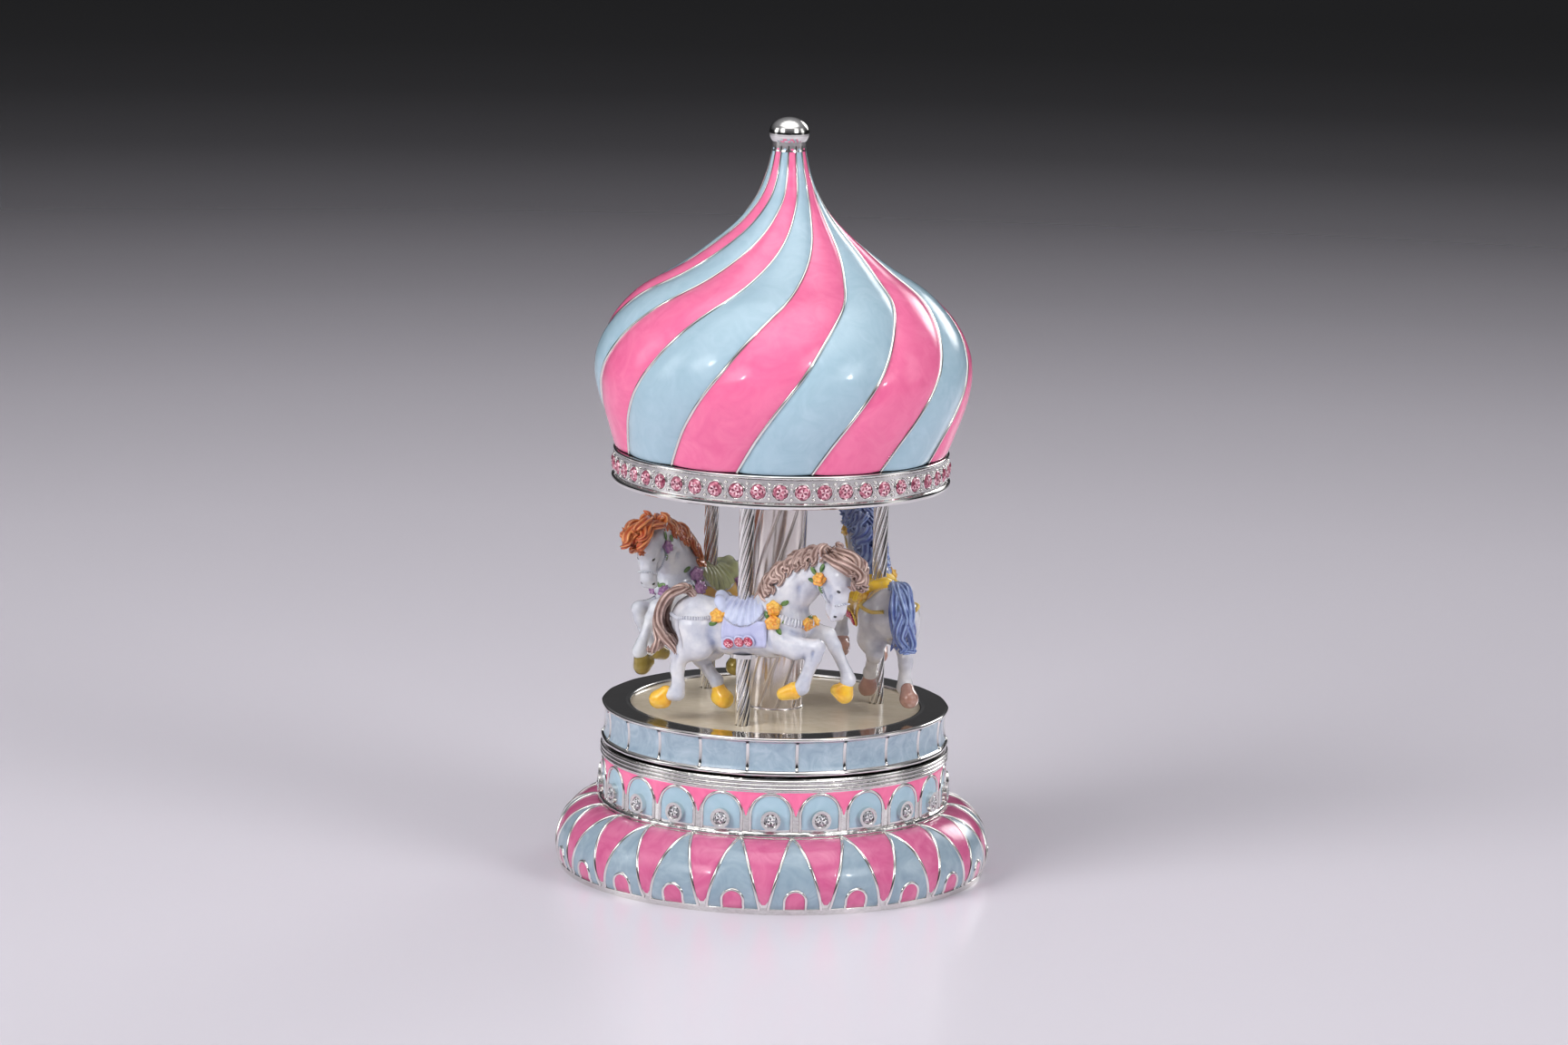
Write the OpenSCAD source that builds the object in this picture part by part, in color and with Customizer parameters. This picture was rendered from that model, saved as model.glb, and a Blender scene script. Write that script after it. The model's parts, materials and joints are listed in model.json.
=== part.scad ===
// Carousel music box: enamelled base and onion dome, three horses on a turning
// platform, and an 18-note wind-up movement in the base.
// Origin: centre of the foot, on the surface it stands on. +Z is up, -Y is the front.

/* [Base] */
// Outer radius of the foot
foot_r = 42.9; // [42:0.1:44]
// Radius of the arched band above the foot
waist_r = 34.3; // [34:0.1:34.6]
// Height of the fixed base
base_h = 25; // [24.8:0.1:25.2]
// Number of arches round the base, and of panels round the platform
arch_count = 22; // [16:1:26]

/* [Platform] */
// Outer radius of the platform's top edge
platform_r = 34.5; // [34.3:0.1:35]
// Visible radius of the enamelled deck
deck_r = 28.7; // [27:0.1:29.5]
// Height of the platform's top edge
platform_top = 33.1; // [33:0.1:33.5]

/* [Dome] */
// Largest radius of the dome
dome_r = 37.2; // [36:0.1:39]
// Height at which the dome leaves the stone band
dome_z = 84.4; // [84:0.1:86]
// Height of the enamelled dome
dome_h = 59; // [56:0.5:62]
// Outer radius of the stone band's lower lip
rim_r = 33.5; // [33:0.1:34]
// Number of stones round the band
rim_stone_count = 48; // [40:1:52]

/* [Poles and horses] */
// Radius of the circle of poles
pole_circle = 20.5; // [19:0.1:21]
// Radius of a twisted pole
pole_r = 1.5; // [1.3:0.05:1.6]
// Turn of the first pole from the front
first_pole_angle = -18; // [-60:1:60]
// Number of horses and poles
horse_count = 3; // [3]
// Radius of the centre column
column_r = 5.4; // [5:0.1:6]

/* [Movement] */
// Distance from the turntable's axis to the spring barrel's axis
barrel_offset = 13; // [13]
// Number of notes on the comb
note_count = 18; // [12:1:18]
// Height of the music cylinder's axis
cylinder_z = 19.4; // [19.4]

/* [Hidden] */
$fn = 64;

// Clearances
running = 0.05;
slack = 0.1;

// Levels in the base
recess_top = 8;
plate_t = 1.2;
bedplate_z = recess_top + plate_t;
bedplate_t = 1.6;
bedplate_top = bedplate_z + bedplate_t;
cavity_r = waist_r - 2.4;
platform_gap = 0.6;

// Foot: a quarter round between the flat rim and the arched band
foot_round = foot_r - waist_r - 0.1;
foot_centre_z = 4.6;
foot_rim_r = foot_r - 0.7;
wall = 2.1;

// Platform and deck
deck_top = platform_top - 0.6;
deck_t = 1.2;
deck_under = deck_top - deck_t;
ring_z = base_h + platform_gap;
ring_bore = platform_r - 2.7;
hub_r = 3.7;

// Ceiling under the dome
ceiling_z = 77.8;
ceiling_t = 1.2;
rim_bore = rim_r - 2;

// Stones
rim_stone_r = 1.5;
rim_stone_z = 81.2;
rim_belt_r = rim_r - 0.6;
base_stone_r = 1.35;
base_stone_z = 16.9;
bezel_r = 1.95;
bezel_out = 0.8;
saddle_stone_r = 0.9;

// Gear train. Each gear has a module in millimetres and a tooth count.
drive_module = 0.65;
drive_teeth = 24;
turntable_teeth = 16;
drive_gear_z = 27.6;
drive_gear_t = 1.4;
crown_teeth = 36;
pinion_teeth = 12;
crown_module = 0.6;
crown_r = crown_module * crown_teeth / 2;
wheel_module = 0.5;
wheel_teeth = 24;
governor_pinion_teeth = 8;
worm_module = 0.45;
worm_wheel_teeth = 14;
worm_r = 1.35;
governor_y = wheel_module * (wheel_teeth + governor_pinion_teeth) / 2;
worm_y = governor_y + worm_module * worm_wheel_teeth / 2 + worm_r;

// Places along the music cylinder's axis
pinion_x = -barrel_offset + crown_r - 0.7;
pinion_t = 1.4;
inner_bracket_x = -0.4;
bracket_t = 1.1;
wheel_x = 1.1;
wheel_t = 1.1;
drum_x = 3.2;
drum_l = 17;
drum_r = 5.5;
pin_top = 6;
outer_bracket_x = 21;
worm_wheel_x = -1.8;
worm_x = worm_wheel_x + wheel_t / 2;
arbor_r = 1;
thin_arbor_r = 0.6;

// Spring barrel
barrel_r = 11.8;
barrel_z = 11.3;
barrel_wall = 0.8;
barrel_lid_z = 14.3;
crown_root_z = cylinder_z - crown_module * (pinion_teeth / 2 + 1);
crown_h = 1.05;
winding_r = 2;
barrel_shaft_r = 2.5;

bridge_z = 26.3;
bridge_t = 1;
bridge_foot_y = 28.4;
boss_top = 22;
post_r = 2;
hub_bore_top = 31;
tie_rod_r = 1.5;
tie_rod_z = 33.2;

enamel_pink = [0.93, 0.36, 0.60];
enamel_blue = [0.56, 0.76, 0.85];
silver = [0.82, 0.81, 0.79];
brass = [0.78, 0.62, 0.32];
steel = [0.62, 0.63, 0.65];

// ---- Curves ----

// One point on a Catmull-Rom curve between b and c
function curve_point(a, b, c, d, t) =
    0.5 * (2 * b + (c - a) * t + (2 * a - 5 * b + 4 * c - d) * t * t
    + (3 * b - a - 3 * c + d) * t * t * t);

// A smooth open curve through the points p, with n steps between neighbours
function smooth(p, n) = let (last = len(p) - 1) [
    for (i = [0:last - 1], k = [0:n - 1])
        curve_point(p[max(i - 1, 0)], p[i], p[i + 1], p[min(i + 2, last)], k / n),
    p[last]
];

// An arc of radius r (x) and h (y) about the point c
function arc(c, r, h, from, to, n) =
    [for (k = [0:n]) let (a = from + (to - from) * k / n) c + [r * cos(a), h * sin(a)]];

// Outline of the onion dome as [radius, height above its lower edge], as parts of the
// largest radius and of the height
dome_knots = [
    [0.887, 0], [0.930, 0.078], [0.970, 0.151], [0.995, 0.222], [1, 0.275],
    [0.989, 0.330], [0.945, 0.400], [0.866, 0.470], [0.745, 0.540], [0.555, 0.612],
    [0.395, 0.690], [0.266, 0.766], [0.180, 0.841], [0.128, 0.920], [0.092, 1]
];
function dome_outline(inset) = smooth(
    [for (k = dome_knots) [max(dome_r * k[0] - inset, 1.7), dome_z + dome_h * k[1]]], 4);

// ---- Gears ----

function involute(a) = tan(a) * 180 / PI - a;

// Half the angle of a tooth at radius r, for n teeth of module m, thinned by play
function tooth_half(n, m, r, play) = let (base = m * n / 2 * cos(20))
    90 / n - play / (m * n) * 180 / PI + involute(20) - (r > base ? involute(acos(base / r)) : 0);

// Outline of an involute spur gear with a tooth on +X
function gear_outline(n, m, play, add, ded) = let (
    root = m * n / 2 - ded * m,
    tip = m * n / 2 + add * m,
    base = m * n / 2 * cos(20),
    low = max(root, base),
    radii = [root, low, low + (tip - low) * 0.33, low + (tip - low) * 0.66, tip]
) [
    for (i = [0:n - 1], side = [-1, 1], k = [0:4])
        let (r = radii[side < 0 ? k : 4 - k], a = 360 * i / n + side * tooth_half(n, m, r, play))
            [r * cos(a), r * sin(a)]
];

module gear(n, m, t, bore, play = 0.06, add = 0.9, ded = 1.2) {
    linear_extrude(t) difference() {
        polygon(gear_outline(n, m, play, add, ded));
        circle(bore);
    }
}

// Turns a piece made along +Z so that it lies along +X at height cylinder_z
module along_x(x, y = 0) {
    translate([x, y, cylinder_z]) rotate([0, 90, 0]) children();
}

// ---- Helpers ----

module tube(outer, inner, z, h) {
    translate([0, 0, z]) difference() {
        cylinder(r = outer, h = h);
        translate([0, 0, -1]) cylinder(r = inner, h = h + 2);
    }
}

module screw(r, z_head, head_r, head_h, length) {
    translate([0, 0, z_head]) difference() {
        union() {
            cylinder(r = head_r, h = head_h);
            translate([0, 0, -length]) cylinder(r = r, h = length);
        }
        translate([-head_r, -0.25, head_h * 0.5]) cube([2 * head_r, 0.5, head_h]);
    }
}

// A round stone: pavilion, girdle and crown, with its girdle at z = 0
module stone(r) {
    translate([0, 0, -r * 0.75]) cylinder(r1 = 0.05, r2 = r, h = r * 0.75, $fn = 24);
    cylinder(r1 = r, r2 = r * 0.6, h = r * 0.4, $fn = 24);
}

// Places children on a vertical wall of radius r, facing outwards
module round_wall(count, start, r, z) {
    for (i = [0:count - 1])
        rotate([0, 0, -90 + start + 360 * i / count])
            translate([r, 0, z]) rotate([0, 90, 0]) children();
}

module polar(count, start, r) {
    for (i = [0:count - 1])
        rotate([0, 0, -90 + start + 360 * i / count]) translate([r, 0, 0]) children();
}

// ---- Fixed base ----

arch_step = 360 / arch_count;
foot_phase = 6.5;
band_phase = 15.9;
bar_phase = 7.7;
plate_screw_r = 34;

module base_profile() {
    reed = 0.35;
    polygon(concat(
        [[foot_rim_r - 2, 0], [foot_rim_r, 0], [foot_rim_r, 1.4], [foot_r - 0.35, 2]],
        arc([waist_r + 0.1, foot_centre_z], foot_round, 8.7, -14, 90, 14),
        [[waist_r, 13.3], [waist_r, 14.2], [waist_r - 0.25, 14.6], [waist_r - 0.25, 22.5]],
        [for (k = [0:2]) each arc([waist_r - 0.05, 22.95 + 0.75 * k], reed, reed, -85, 85, 6)],
        [[waist_r - 0.1, base_h], [cavity_r, base_h]],
        [[cavity_r, 12.5]],
        arc([cavity_r + 1.4, foot_centre_z], foot_round - 0.1 - wall + 1, 6.5, 72, 0, 8),
        [[foot_rim_r - 2, 2]]
    ));
}

module base_casting() {
    color(enamel_pink) difference() {
        union() {
            rotate_extrude() base_profile();
            round_wall(arch_count, band_phase, waist_r - 1, base_stone_z)
                cylinder(r = bezel_r, h = 1 + bezel_out, $fn = 32);
            polar(3, 30, plate_screw_r) translate([0, 0, bedplate_z]) cylinder(r = 2.4, h = 2.3);
            for (s = [-1, 1]) {
                translate([0, s * bridge_foot_y, 14]) cylinder(r = 3, h = boss_top - 14);
                translate([-3, s > 0 ? bridge_foot_y : -bridge_foot_y - 4.4, 14])
                    cube([6, 4.4, boss_top - 14]);
            }
        }
        round_wall(arch_count, band_phase, waist_r + bezel_out - 0.9, base_stone_z)
            cylinder(r = base_stone_r + 0.05, h = 2, $fn = 32);
        polar(3, 30, plate_screw_r) translate([0, 0, bedplate_z - 1]) cylinder(r = 0.9, h = 3);
        for (s = [-1, 1]) translate([0, s * bridge_foot_y, 18]) cylinder(r = 1, h = 5);
    }
}

module base_stones() {
    color("white")
        round_wall(arch_count, band_phase,
            waist_r + bezel_out + base_stone_r * 0.75 - 0.9, base_stone_z) stone(base_stone_r);
}

movement_screw_places = [[-23, 14], [-23, -14], [21.5, 16]];

module base_plate() {
    color(silver) difference() {
        translate([0, 0, recess_top]) cylinder(r = 38.2, h = plate_t, $fn = 96);
        translate([-barrel_offset, 0, 0]) cylinder(r = winding_r + 0.6, h = 20);
        polar(3, 30, plate_screw_r) cylinder(r = 1, h = 20);
        for (p = movement_screw_places) translate(p) cylinder(r = 1.1, h = 20);
    }
}

module base_plate_screws() {
    color(steel) polar(3, 30, plate_screw_r)
        mirror([0, 0, 1]) screw(0.9, -recess_top, 1.8, 0.7, bedplate_z + 2 - recess_top);
}

// ---- Movement: fixed pieces ----

comb_y = -18.6;
comb_tip_y = -pin_top - 0.12;
comb_screw_x = [drum_x + 4, drum_x + drum_l - 4];
comb_t = 1.2;

module movement_bedplate() {
    color(brass) difference() {
        union() {
            intersection() {
                translate([-26, -21.5, bedplate_z]) cube([50.5, 41, bedplate_t]);
                cylinder(r = 31, h = 20);
            }
            translate([drum_x - 0.2, comb_y - 2.5, bedplate_top])
                cube([drum_l + 0.4, 5, cylinder_z - comb_t / 2 - bedplate_top]);
        }
        translate([-barrel_offset, 0, 0]) cylinder(r = winding_r + running, h = 20);
        for (p = movement_screw_places) translate(p) cylinder(r = 1, h = 20);
        for (x = comb_screw_x) translate([x, comb_y, 14]) cylinder(r = 1, h = 8);
    }
}

module movement_screws() {
    color(steel) for (p = movement_screw_places) translate(p)
        mirror([0, 0, 1]) screw(1, -recess_top, 1.9, 0.7, plate_t + bedplate_t);
}

module comb() {
    pitch = drum_l / note_count;
    tooth_w = pitch * 0.8;
    root_y = comb_y + 3;
    color(steel) difference() {
        union() {
            translate([drum_x, comb_y - 2.4, cylinder_z - comb_t / 2])
                cube([drum_l, root_y - comb_y + 2.4, comb_t]);
            for (i = [0:note_count - 1])
                translate([drum_x + pitch * (i + 0.5) - tooth_w / 2, root_y - 0.1, cylinder_z - 0.3])
                    cube([tooth_w, comb_tip_y - root_y + 0.1, 0.6]);
        }
        for (x = comb_screw_x) translate([x, comb_y, 0]) cylinder(r = 1.05, h = 40);
    }
}

module comb_screws() {
    color(steel) for (x = comb_screw_x) translate([x, comb_y, 0])
        screw(1, cylinder_z + comb_t / 2, 1.9, 1, 5);
}

module bracket(x, low_y, high_y) {
    difference() {
        translate([x, low_y, bedplate_top])
            cube([bracket_t, high_y - low_y, cylinder_z + 3 - bedplate_top]);
        along_x(x - 1) cylinder(r = arbor_r + running, h = 4);
        along_x(x - 1, governor_y) cylinder(r = thin_arbor_r + running, h = 4);
    }
}

module inner_bracket() { color(steel) bracket(inner_bracket_x, -4, 10); }

module outer_bracket() { color(steel) bracket(outer_bracket_x, -4, 10); }

governor_low_z = 12.4;
governor_high_z = 22;
governor_arm_t = 1;

module governor_bracket() {
    post_y = worm_y + 3.4;
    color(brass) difference() {
        union() {
            translate([worm_x - 2.2, post_y, bedplate_top])
                cube([4.4, 1.8, governor_high_z + governor_arm_t - bedplate_top]);
            for (z = [governor_low_z, governor_high_z])
                translate([worm_x - 2.2, worm_y - 1.2, z])
                    cube([4.4, post_y - worm_y + 1.3, governor_arm_t]);
        }
        translate([worm_x, worm_y, 0]) cylinder(r = 0.5 + running, h = 40);
    }
}

module bridge() {
    color(silver) difference() {
        union() {
            translate([-5, -bridge_foot_y - 2, bridge_z]) cube([10, 2 * bridge_foot_y + 4, bridge_t]);
            translate([-barrel_offset, -4.5, bridge_z]) cube([barrel_offset, 9, bridge_t]);
            translate([-barrel_offset, 0, bridge_z]) cylinder(r = 4.5, h = bridge_t);
            for (s = [-1, 1]) translate([0, s * bridge_foot_y, boss_top])
                cylinder(r = 2.6, h = bridge_z - boss_top + 0.1);
        }
        cylinder(r = post_r, h = 60);
        translate([-barrel_offset, 0, 0]) cylinder(r = barrel_shaft_r + running, h = 60);
        for (s = [-1, 1]) translate([0, s * bridge_foot_y, 0]) cylinder(r = 1.05, h = 60);
    }
}

module bridge_screws() {
    color(steel) for (s = [-1, 1]) translate([0, s * bridge_foot_y, 0])
        screw(1, bridge_z + bridge_t, 2, 0.9, 8);
}

module centre_post() {
    low = bridge_z - 0.3;
    color(steel) translate([0, 0, low]) cylinder(r = post_r, h = hub_bore_top - running - low);
}

// ---- Turning platform ----

module turntable_hub() {
    color(steel) difference() {
        union() {
            translate([0, 0, drive_gear_z]) cylinder(r = 3, h = deck_under - drive_gear_z);
            translate([0, 0, deck_under - 1.2]) cylinder(r = 8, h = 1.2);
            translate([0, 0, deck_under - 0.1]) cylinder(r = hub_r, h = 7);
        }
        cylinder(r = post_r + running, h = hub_bore_top);
        translate([0, 0, tie_rod_z]) cylinder(r = tie_rod_r, h = 10);
    }
}

module turntable_gear() {
    color(brass) translate([0, 0, drive_gear_z]) rotate([0, 0, 180 + 180 / turntable_teeth])
        gear(turntable_teeth, drive_module, drive_gear_t, 3);
}

module platform_ring() {
    waist = platform_r - 0.75;
    low_r = platform_r + 0.1;
    color(enamel_blue) {
        rotate_extrude() polygon(concat(
            [[ring_bore, ring_z], [low_r - 0.3, ring_z], [low_r, ring_z + 0.25], [low_r, ring_z + 0.7]],
            smooth([[low_r - 0.15, ring_z + 0.9], [waist, ring_z + 2.2], [waist - 0.1, ring_z + 4],
                [waist + 0.1, platform_top - 1]], 4),
            [[platform_r, platform_top - 0.8], [platform_r, platform_top - 0.15],
             [platform_r - 0.25, platform_top], [deck_r + 0.5, platform_top - 0.1],
             [deck_r, platform_top - 0.35], [deck_r, deck_top], [deck_r + 1.8, deck_top],
             [deck_r + 1.8, deck_under], [ring_bore, deck_under]]
        ));
        polar(arch_count, bar_phase, waist - 0.3) translate([0, -0.3, ring_z + 1])
            cube([0.65, 0.6, platform_top - ring_z - 1.6]);
    }
}

module deck_disc() {
    color([0.86, 0.86, 0.78]) difference() {
        translate([0, 0, deck_under]) cylinder(r = deck_r + 1.75, h = deck_t, $fn = 96);
        cylinder(r = hub_r, h = 60);
        pole_places() cylinder(r = pole_r + 0.08, h = 60);
    }
}

module pole_places() {
    for (i = [0:horse_count - 1]) pole_place(i) children();
}

// Stands children on pole i, with +X along the way the horse travels
module pole_place(i) {
    a = first_pole_angle + 360 * i / horse_count;
    translate([pole_circle * sin(a), -pole_circle * cos(a), 0]) rotate([0, 0, a]) children();
}

// ---- Column and poles ----

column_lobes = 9;
column_turn = 130;
pole_strands = 6;
pole_turn = 640;
pole_foot = deck_under - 1.5;
pole_head = ceiling_z + ceiling_t;

// Outline of a rod with n rounded strands
function strands(n, r, depth, steps) = [
    for (k = [0:n * steps - 1]) let (a = 360 * k / (n * steps), s = abs(sin(n * a / 2)))
        (r - depth * (1 - s)) * [cos(a), sin(a)]
];

module centre_column() {
    color(silver) difference() {
        translate([0, 0, deck_top])
            linear_extrude(ceiling_z - deck_top, twist = -column_turn, slices = 16, $fn = 12)
                polygon(strands(column_lobes, column_r, 0.3, 4));
        cylinder(r = hub_r + running, h = 100);
    }
}

module pole(i) {
    color(silver) pole_place(i) translate([0, 0, pole_foot])
        linear_extrude(pole_head - pole_foot, twist = -pole_turn, slices = 32, $fn = 12)
            polygon(strands(pole_strands, pole_r, 0.25, 2));
}

module pole_front() { pole(0); }

module pole_right() { pole(1); }

module pole_left() { pole(2); }

module pole_collars() {
    color(silver) pole_places() tube(2.7, pole_r + 0.02, belly_z - 0.9, 0.8);
}

module pole_nuts() {
    color(steel) pole_places() translate([0, 0, deck_under - 1.3]) difference() {
        cylinder(r = 2.6, h = 1.25, $fn = 6);
        translate([0, 0, -1]) cylinder(r = pole_r + 0.02, h = 4);
    }
}

// ---- Horses ----
// A horse stands in its pole's frame: +X forwards, -Y outwards, heights from the table.

belly_z = 47;
saddle_z = 56.6;
flap_y = 4.7;

module limb(points) {
    for (i = [0:len(points) - 2]) hull() {
        for (p = [points[i], points[i + 1]])
            translate([p[0], p[1], p[2]]) sphere(p[3], $fn = 10);
    }
}

trunk = [[-10.6, 0, 53.8, 4.6], [-3, 0, 51.9, 4.6], [4, 0, 51.6, 4.6], [9, 0, 51.4, 4.4]];
neck = [[8.6, 0, 54.5, 4], [11.6, -0.2, 61, 3.2], [15, -0.5, 65.6, 2.6]];
head = [[16, -0.9, 65.3, 2.5], [18.6, -1.9, 60.8, 2.1], [19.2, -2.6, 56, 1.4]];
mane = [[3.4, 0, 59.8, 1.2], [7.6, 0, 65.6, 1.4], [14.5, -0.4, 68.6, 1.4], [21.4, -1.4, 66.6, 1.4],
    [23, -1.8, 63.8, 1.1]];
tail = [[-14, 0, 57, 1.3], [-17, -0.3, 54.4, 1.7], [-15.6, -0.5, 49.6, 2], [-15.4, -0.5, 46.6, 1.6],
    [-18, -0.6, 45.2, 1]];
outer_foreleg = [[9, -2.3, 49, 2.7], [16.6, -3, 49.4, 1.5], [12.7, -3, 41.2, 1.05], [9.7, -3, 39.4, 1.4]];
inner_foreleg = [[10, 2.2, 49.8, 2.6], [16.4, 2.6, 51.6, 1.4], [19, 2.6, 43, 1], [18.8, 2.6, 39.6, 1.5]];
outer_hindleg = [[-11, -1.9, 49.5, 3], [-12.6, -2.2, 44.6, 1.7], [-12.6, -2.2, 39.2, 1.1],
    [-15.6, -2.2, 37.4, 1.4]];
inner_hindleg = [[-9.6, 1.9, 49, 2.9], [-8, 2.3, 43.6, 1.5], [-5.4, 2.3, 40, 1], [-4.3, 2.3, 37.6, 1.4]];

module saddle() {
    hull() {
        translate([-3.6, -flap_y, belly_z + 1.2]) cube([8.6, 2 * flap_y, 5]);
        translate([-4, -3.2, saddle_z - 2.6]) cube([9, 6.4, 1.6]);
    }
    hull() {
        translate([-5.6, -3, saddle_z - 1]) cube([2, 6, 2.4]);
        translate([-3.4, -2.6, saddle_z - 2]) cube([1.4, 5.2, 1]);
    }
}

module horse(i) {
    color("white") pole_place(i) difference() {
        union() {
            for (part = [trunk, neck, head, mane, tail, outer_foreleg, inner_foreleg,
                outer_hindleg, inner_hindleg]) limb(part);
            saddle();
        }
        translate([0, 0, 30]) cylinder(r = pole_r + 0.1, h = 50, $fn = 24);
        for (s = [-1, 1]) saddle_stone_places(s)
            translate([0, 0, -saddle_stone_r]) cylinder(r = saddle_stone_r + 0.08, h = 2, $fn = 16);
    }
}

// Three stones in the saddle cloth on one side of the horse
module saddle_stone_places(side) {
    for (k = [-1:1]) translate([0.5 + 2.25 * k, side * (flap_y - 0.15), 50.3])
        rotate([-90 * side, 0, 0]) children();
}

module horse_stones(i) {
    color(enamel_pink) pole_place(i) for (s = [-1, 1]) saddle_stone_places(s) stone(saddle_stone_r);
}

module horse_front() { horse(0); }

module horse_right() { horse(1); }

module horse_left() { horse(2); }

module horse_front_stones() { horse_stones(0); }

module horse_right_stones() { horse_stones(1); }

module horse_left_stones() { horse_stones(2); }

// ---- Dome ----

module ceiling_plate() {
    color(silver) difference() {
        translate([0, 0, ceiling_z]) cylinder(r = rim_bore - running, h = ceiling_t, $fn = 96);
        cylinder(r = tie_rod_r + slack, h = 100);
        pole_places() cylinder(r = pole_r + 0.08, h = 100);
    }
}

module stone_band() {
    color(silver) difference() {
        rotate_extrude() polygon(concat(
            [[rim_bore, ceiling_z]],
            arc([rim_r - 0.55, ceiling_z + 0.65], 0.55, 0.65, -90, 90, 8),
            [[rim_belt_r, ceiling_z + 1.4], [rim_belt_r, dome_z - 0.9]],
            arc([rim_belt_r - 0.1, dome_z - 0.45], 0.4, 0.4, -80, 80, 6),
            [[rim_belt_r - 0.3, dome_z], [rim_bore, dome_z]]
        ));
        round_wall(rim_stone_count, 0, rim_belt_r - 0.9, rim_stone_z)
            cylinder(r = rim_stone_r + 0.05, h = 2, $fn = 32);
    }
}

module band_stones() {
    color([0.93, 0.55, 0.66])
        round_wall(rim_stone_count, 0, rim_belt_r + rim_stone_r * 0.75 - 0.88, rim_stone_z)
            stone(rim_stone_r);
}

dome_t = 1.7;

module dome_shell() {
    outer = dome_outline(0);
    inner = [for (p = dome_outline(dome_t)) if (p[1] < dome_z + dome_h - 5) p];
    top = dome_z + dome_h;
    neck_z = inner[len(inner) - 1][1];
    color(enamel_pink) rotate_extrude() polygon(concat(
        outer, [[tie_rod_r + slack, top], [tie_rod_r + slack, neck_z]],
        [for (i = [len(inner) - 1:-1:0]) inner[i]]));
}

finial_top = 150;
finial_r = 3.95;

module finial() {
    ball_z = finial_top - 3.1;
    neck_z = dome_z + dome_h;
    color(silver) rotate_extrude() polygon(concat(
        [[0, neck_z + 2.2], [tie_rod_r, neck_z + 2.2], [tie_rod_r, neck_z]],
        [[3.4, neck_z], [3.3, neck_z + 0.4]],
        arc([0, ball_z], finial_r, 3.1, -32, 90, 16)
    ));
}

module tie_rod() {
    color(steel) translate([0, 0, tie_rod_z + 0.2])
        cylinder(r = tie_rod_r, h = dome_z + dome_h + 2 - tie_rod_z - 0.2);
}

// ---- Spring barrel and key ----

module at_barrel() { translate([-barrel_offset, 0, 0]) children(); }

module barrel_cup() {
    color(brass) at_barrel() difference() {
        translate([0, 0, barrel_z]) cylinder(r = barrel_r, h = barrel_lid_z - barrel_z);
        translate([0, 0, barrel_z + barrel_wall]) cylinder(r = barrel_r - barrel_wall, h = 10);
        cylinder(r = winding_r + running, h = 40);
    }
}

module barrel_cover() {
    color(brass) at_barrel() difference() {
        union() {
            translate([0, 0, barrel_lid_z]) cylinder(r = barrel_r, h = crown_root_z - barrel_lid_z);
            translate([0, 0, barrel_lid_z]) cylinder(r = 4, h = 4);
            translate([0, 0, barrel_lid_z]) cylinder(r = barrel_shaft_r,
                h = drive_gear_z + drive_gear_t - barrel_lid_z);
            for (i = [0:crown_teeth - 1]) rotate([0, 0, 360 * i / crown_teeth])
                translate([crown_r - 0.7, 0, crown_root_z - 0.1]) rotate([90, 0, 90]) linear_extrude(1.4)
                    polygon([[-0.5, 0], [0.5, 0], [0.2, crown_h + 0.1], [-0.2, crown_h + 0.1]]);
        }
        cylinder(r = winding_r + running, h = crown_root_z + 1.2);
    }
}

module mainspring() {
    turns = 8;
    strip = 0.25;
    start = winding_r + 0.4;
    grow = (barrel_r - barrel_wall - strip - 0.02 - start) / turns;
    steps = turns * 24;
    function coil(extra) = [
        for (k = [0:steps]) let (a = 15 * k, r = start + grow * a / 360 + extra) [r * cos(a), r * sin(a)]
    ];
    inner = coil(0);
    color(steel) at_barrel() translate([0, 0, barrel_z + barrel_wall + 0.2])
        linear_extrude(barrel_lid_z - barrel_z - barrel_wall - 0.4)
            polygon(concat(coil(strip), [for (k = [steps:-1:0]) inner[k]]));
}

module drive_gear() {
    color(brass) at_barrel() translate([0, 0, drive_gear_z])
        gear(drive_teeth, drive_module, drive_gear_t, barrel_shaft_r);
}

key_low = 1.2;
key_high = 7.2;
key_half = 8;

module winding_arbor() {
    color(steel) at_barrel() translate([0, 0, key_low + 2.4])
        cylinder(r = winding_r, h = crown_root_z + 1 - key_low - 2.4);
}

module winding_key() {
    color(brass) at_barrel() difference() {
        union() {
            translate([0, 0, key_low + 1]) cylinder(r = 3, h = key_high - key_low - 1);
            for (s = [-1, 1]) translate([s * (key_half - 3), 0.8, (key_low + key_high) / 2 + 0.1])
                rotate([90, 0, 0]) cylinder(r = 3, h = 1.6);
            translate([-key_half + 3, -0.8, key_low + 1.4]) cube([2 * key_half - 6, 1.6, 3.6]);
        }
        translate([0, 0, key_low + 2.4]) cylinder(r = winding_r, h = 10);
        for (s = [-1, 1]) translate([s * (key_half - 2.8), 2, (key_low + key_high) / 2 + 0.1])
            rotate([90, 0, 0]) cylinder(r = 1.3, h = 4, $fn = 32);
    }
}

// ---- Music cylinder ----

module cylinder_arbor() {
    start = pinion_x - 0.3;
    color(steel) along_x(start) cylinder(r = arbor_r, h = outer_bracket_x + bracket_t + 0.3 - start);
}

module cylinder_pinion() {
    color(brass) along_x(pinion_x) rotate([0, 0, 180 / pinion_teeth])
        gear(pinion_teeth, crown_module, pinion_t, arbor_r, play = 0.14, add = 0.8, ded = 1);
}

module cylinder_wheel() {
    color(brass) along_x(wheel_x) gear(wheel_teeth, wheel_module, wheel_t, arbor_r);
}

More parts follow.
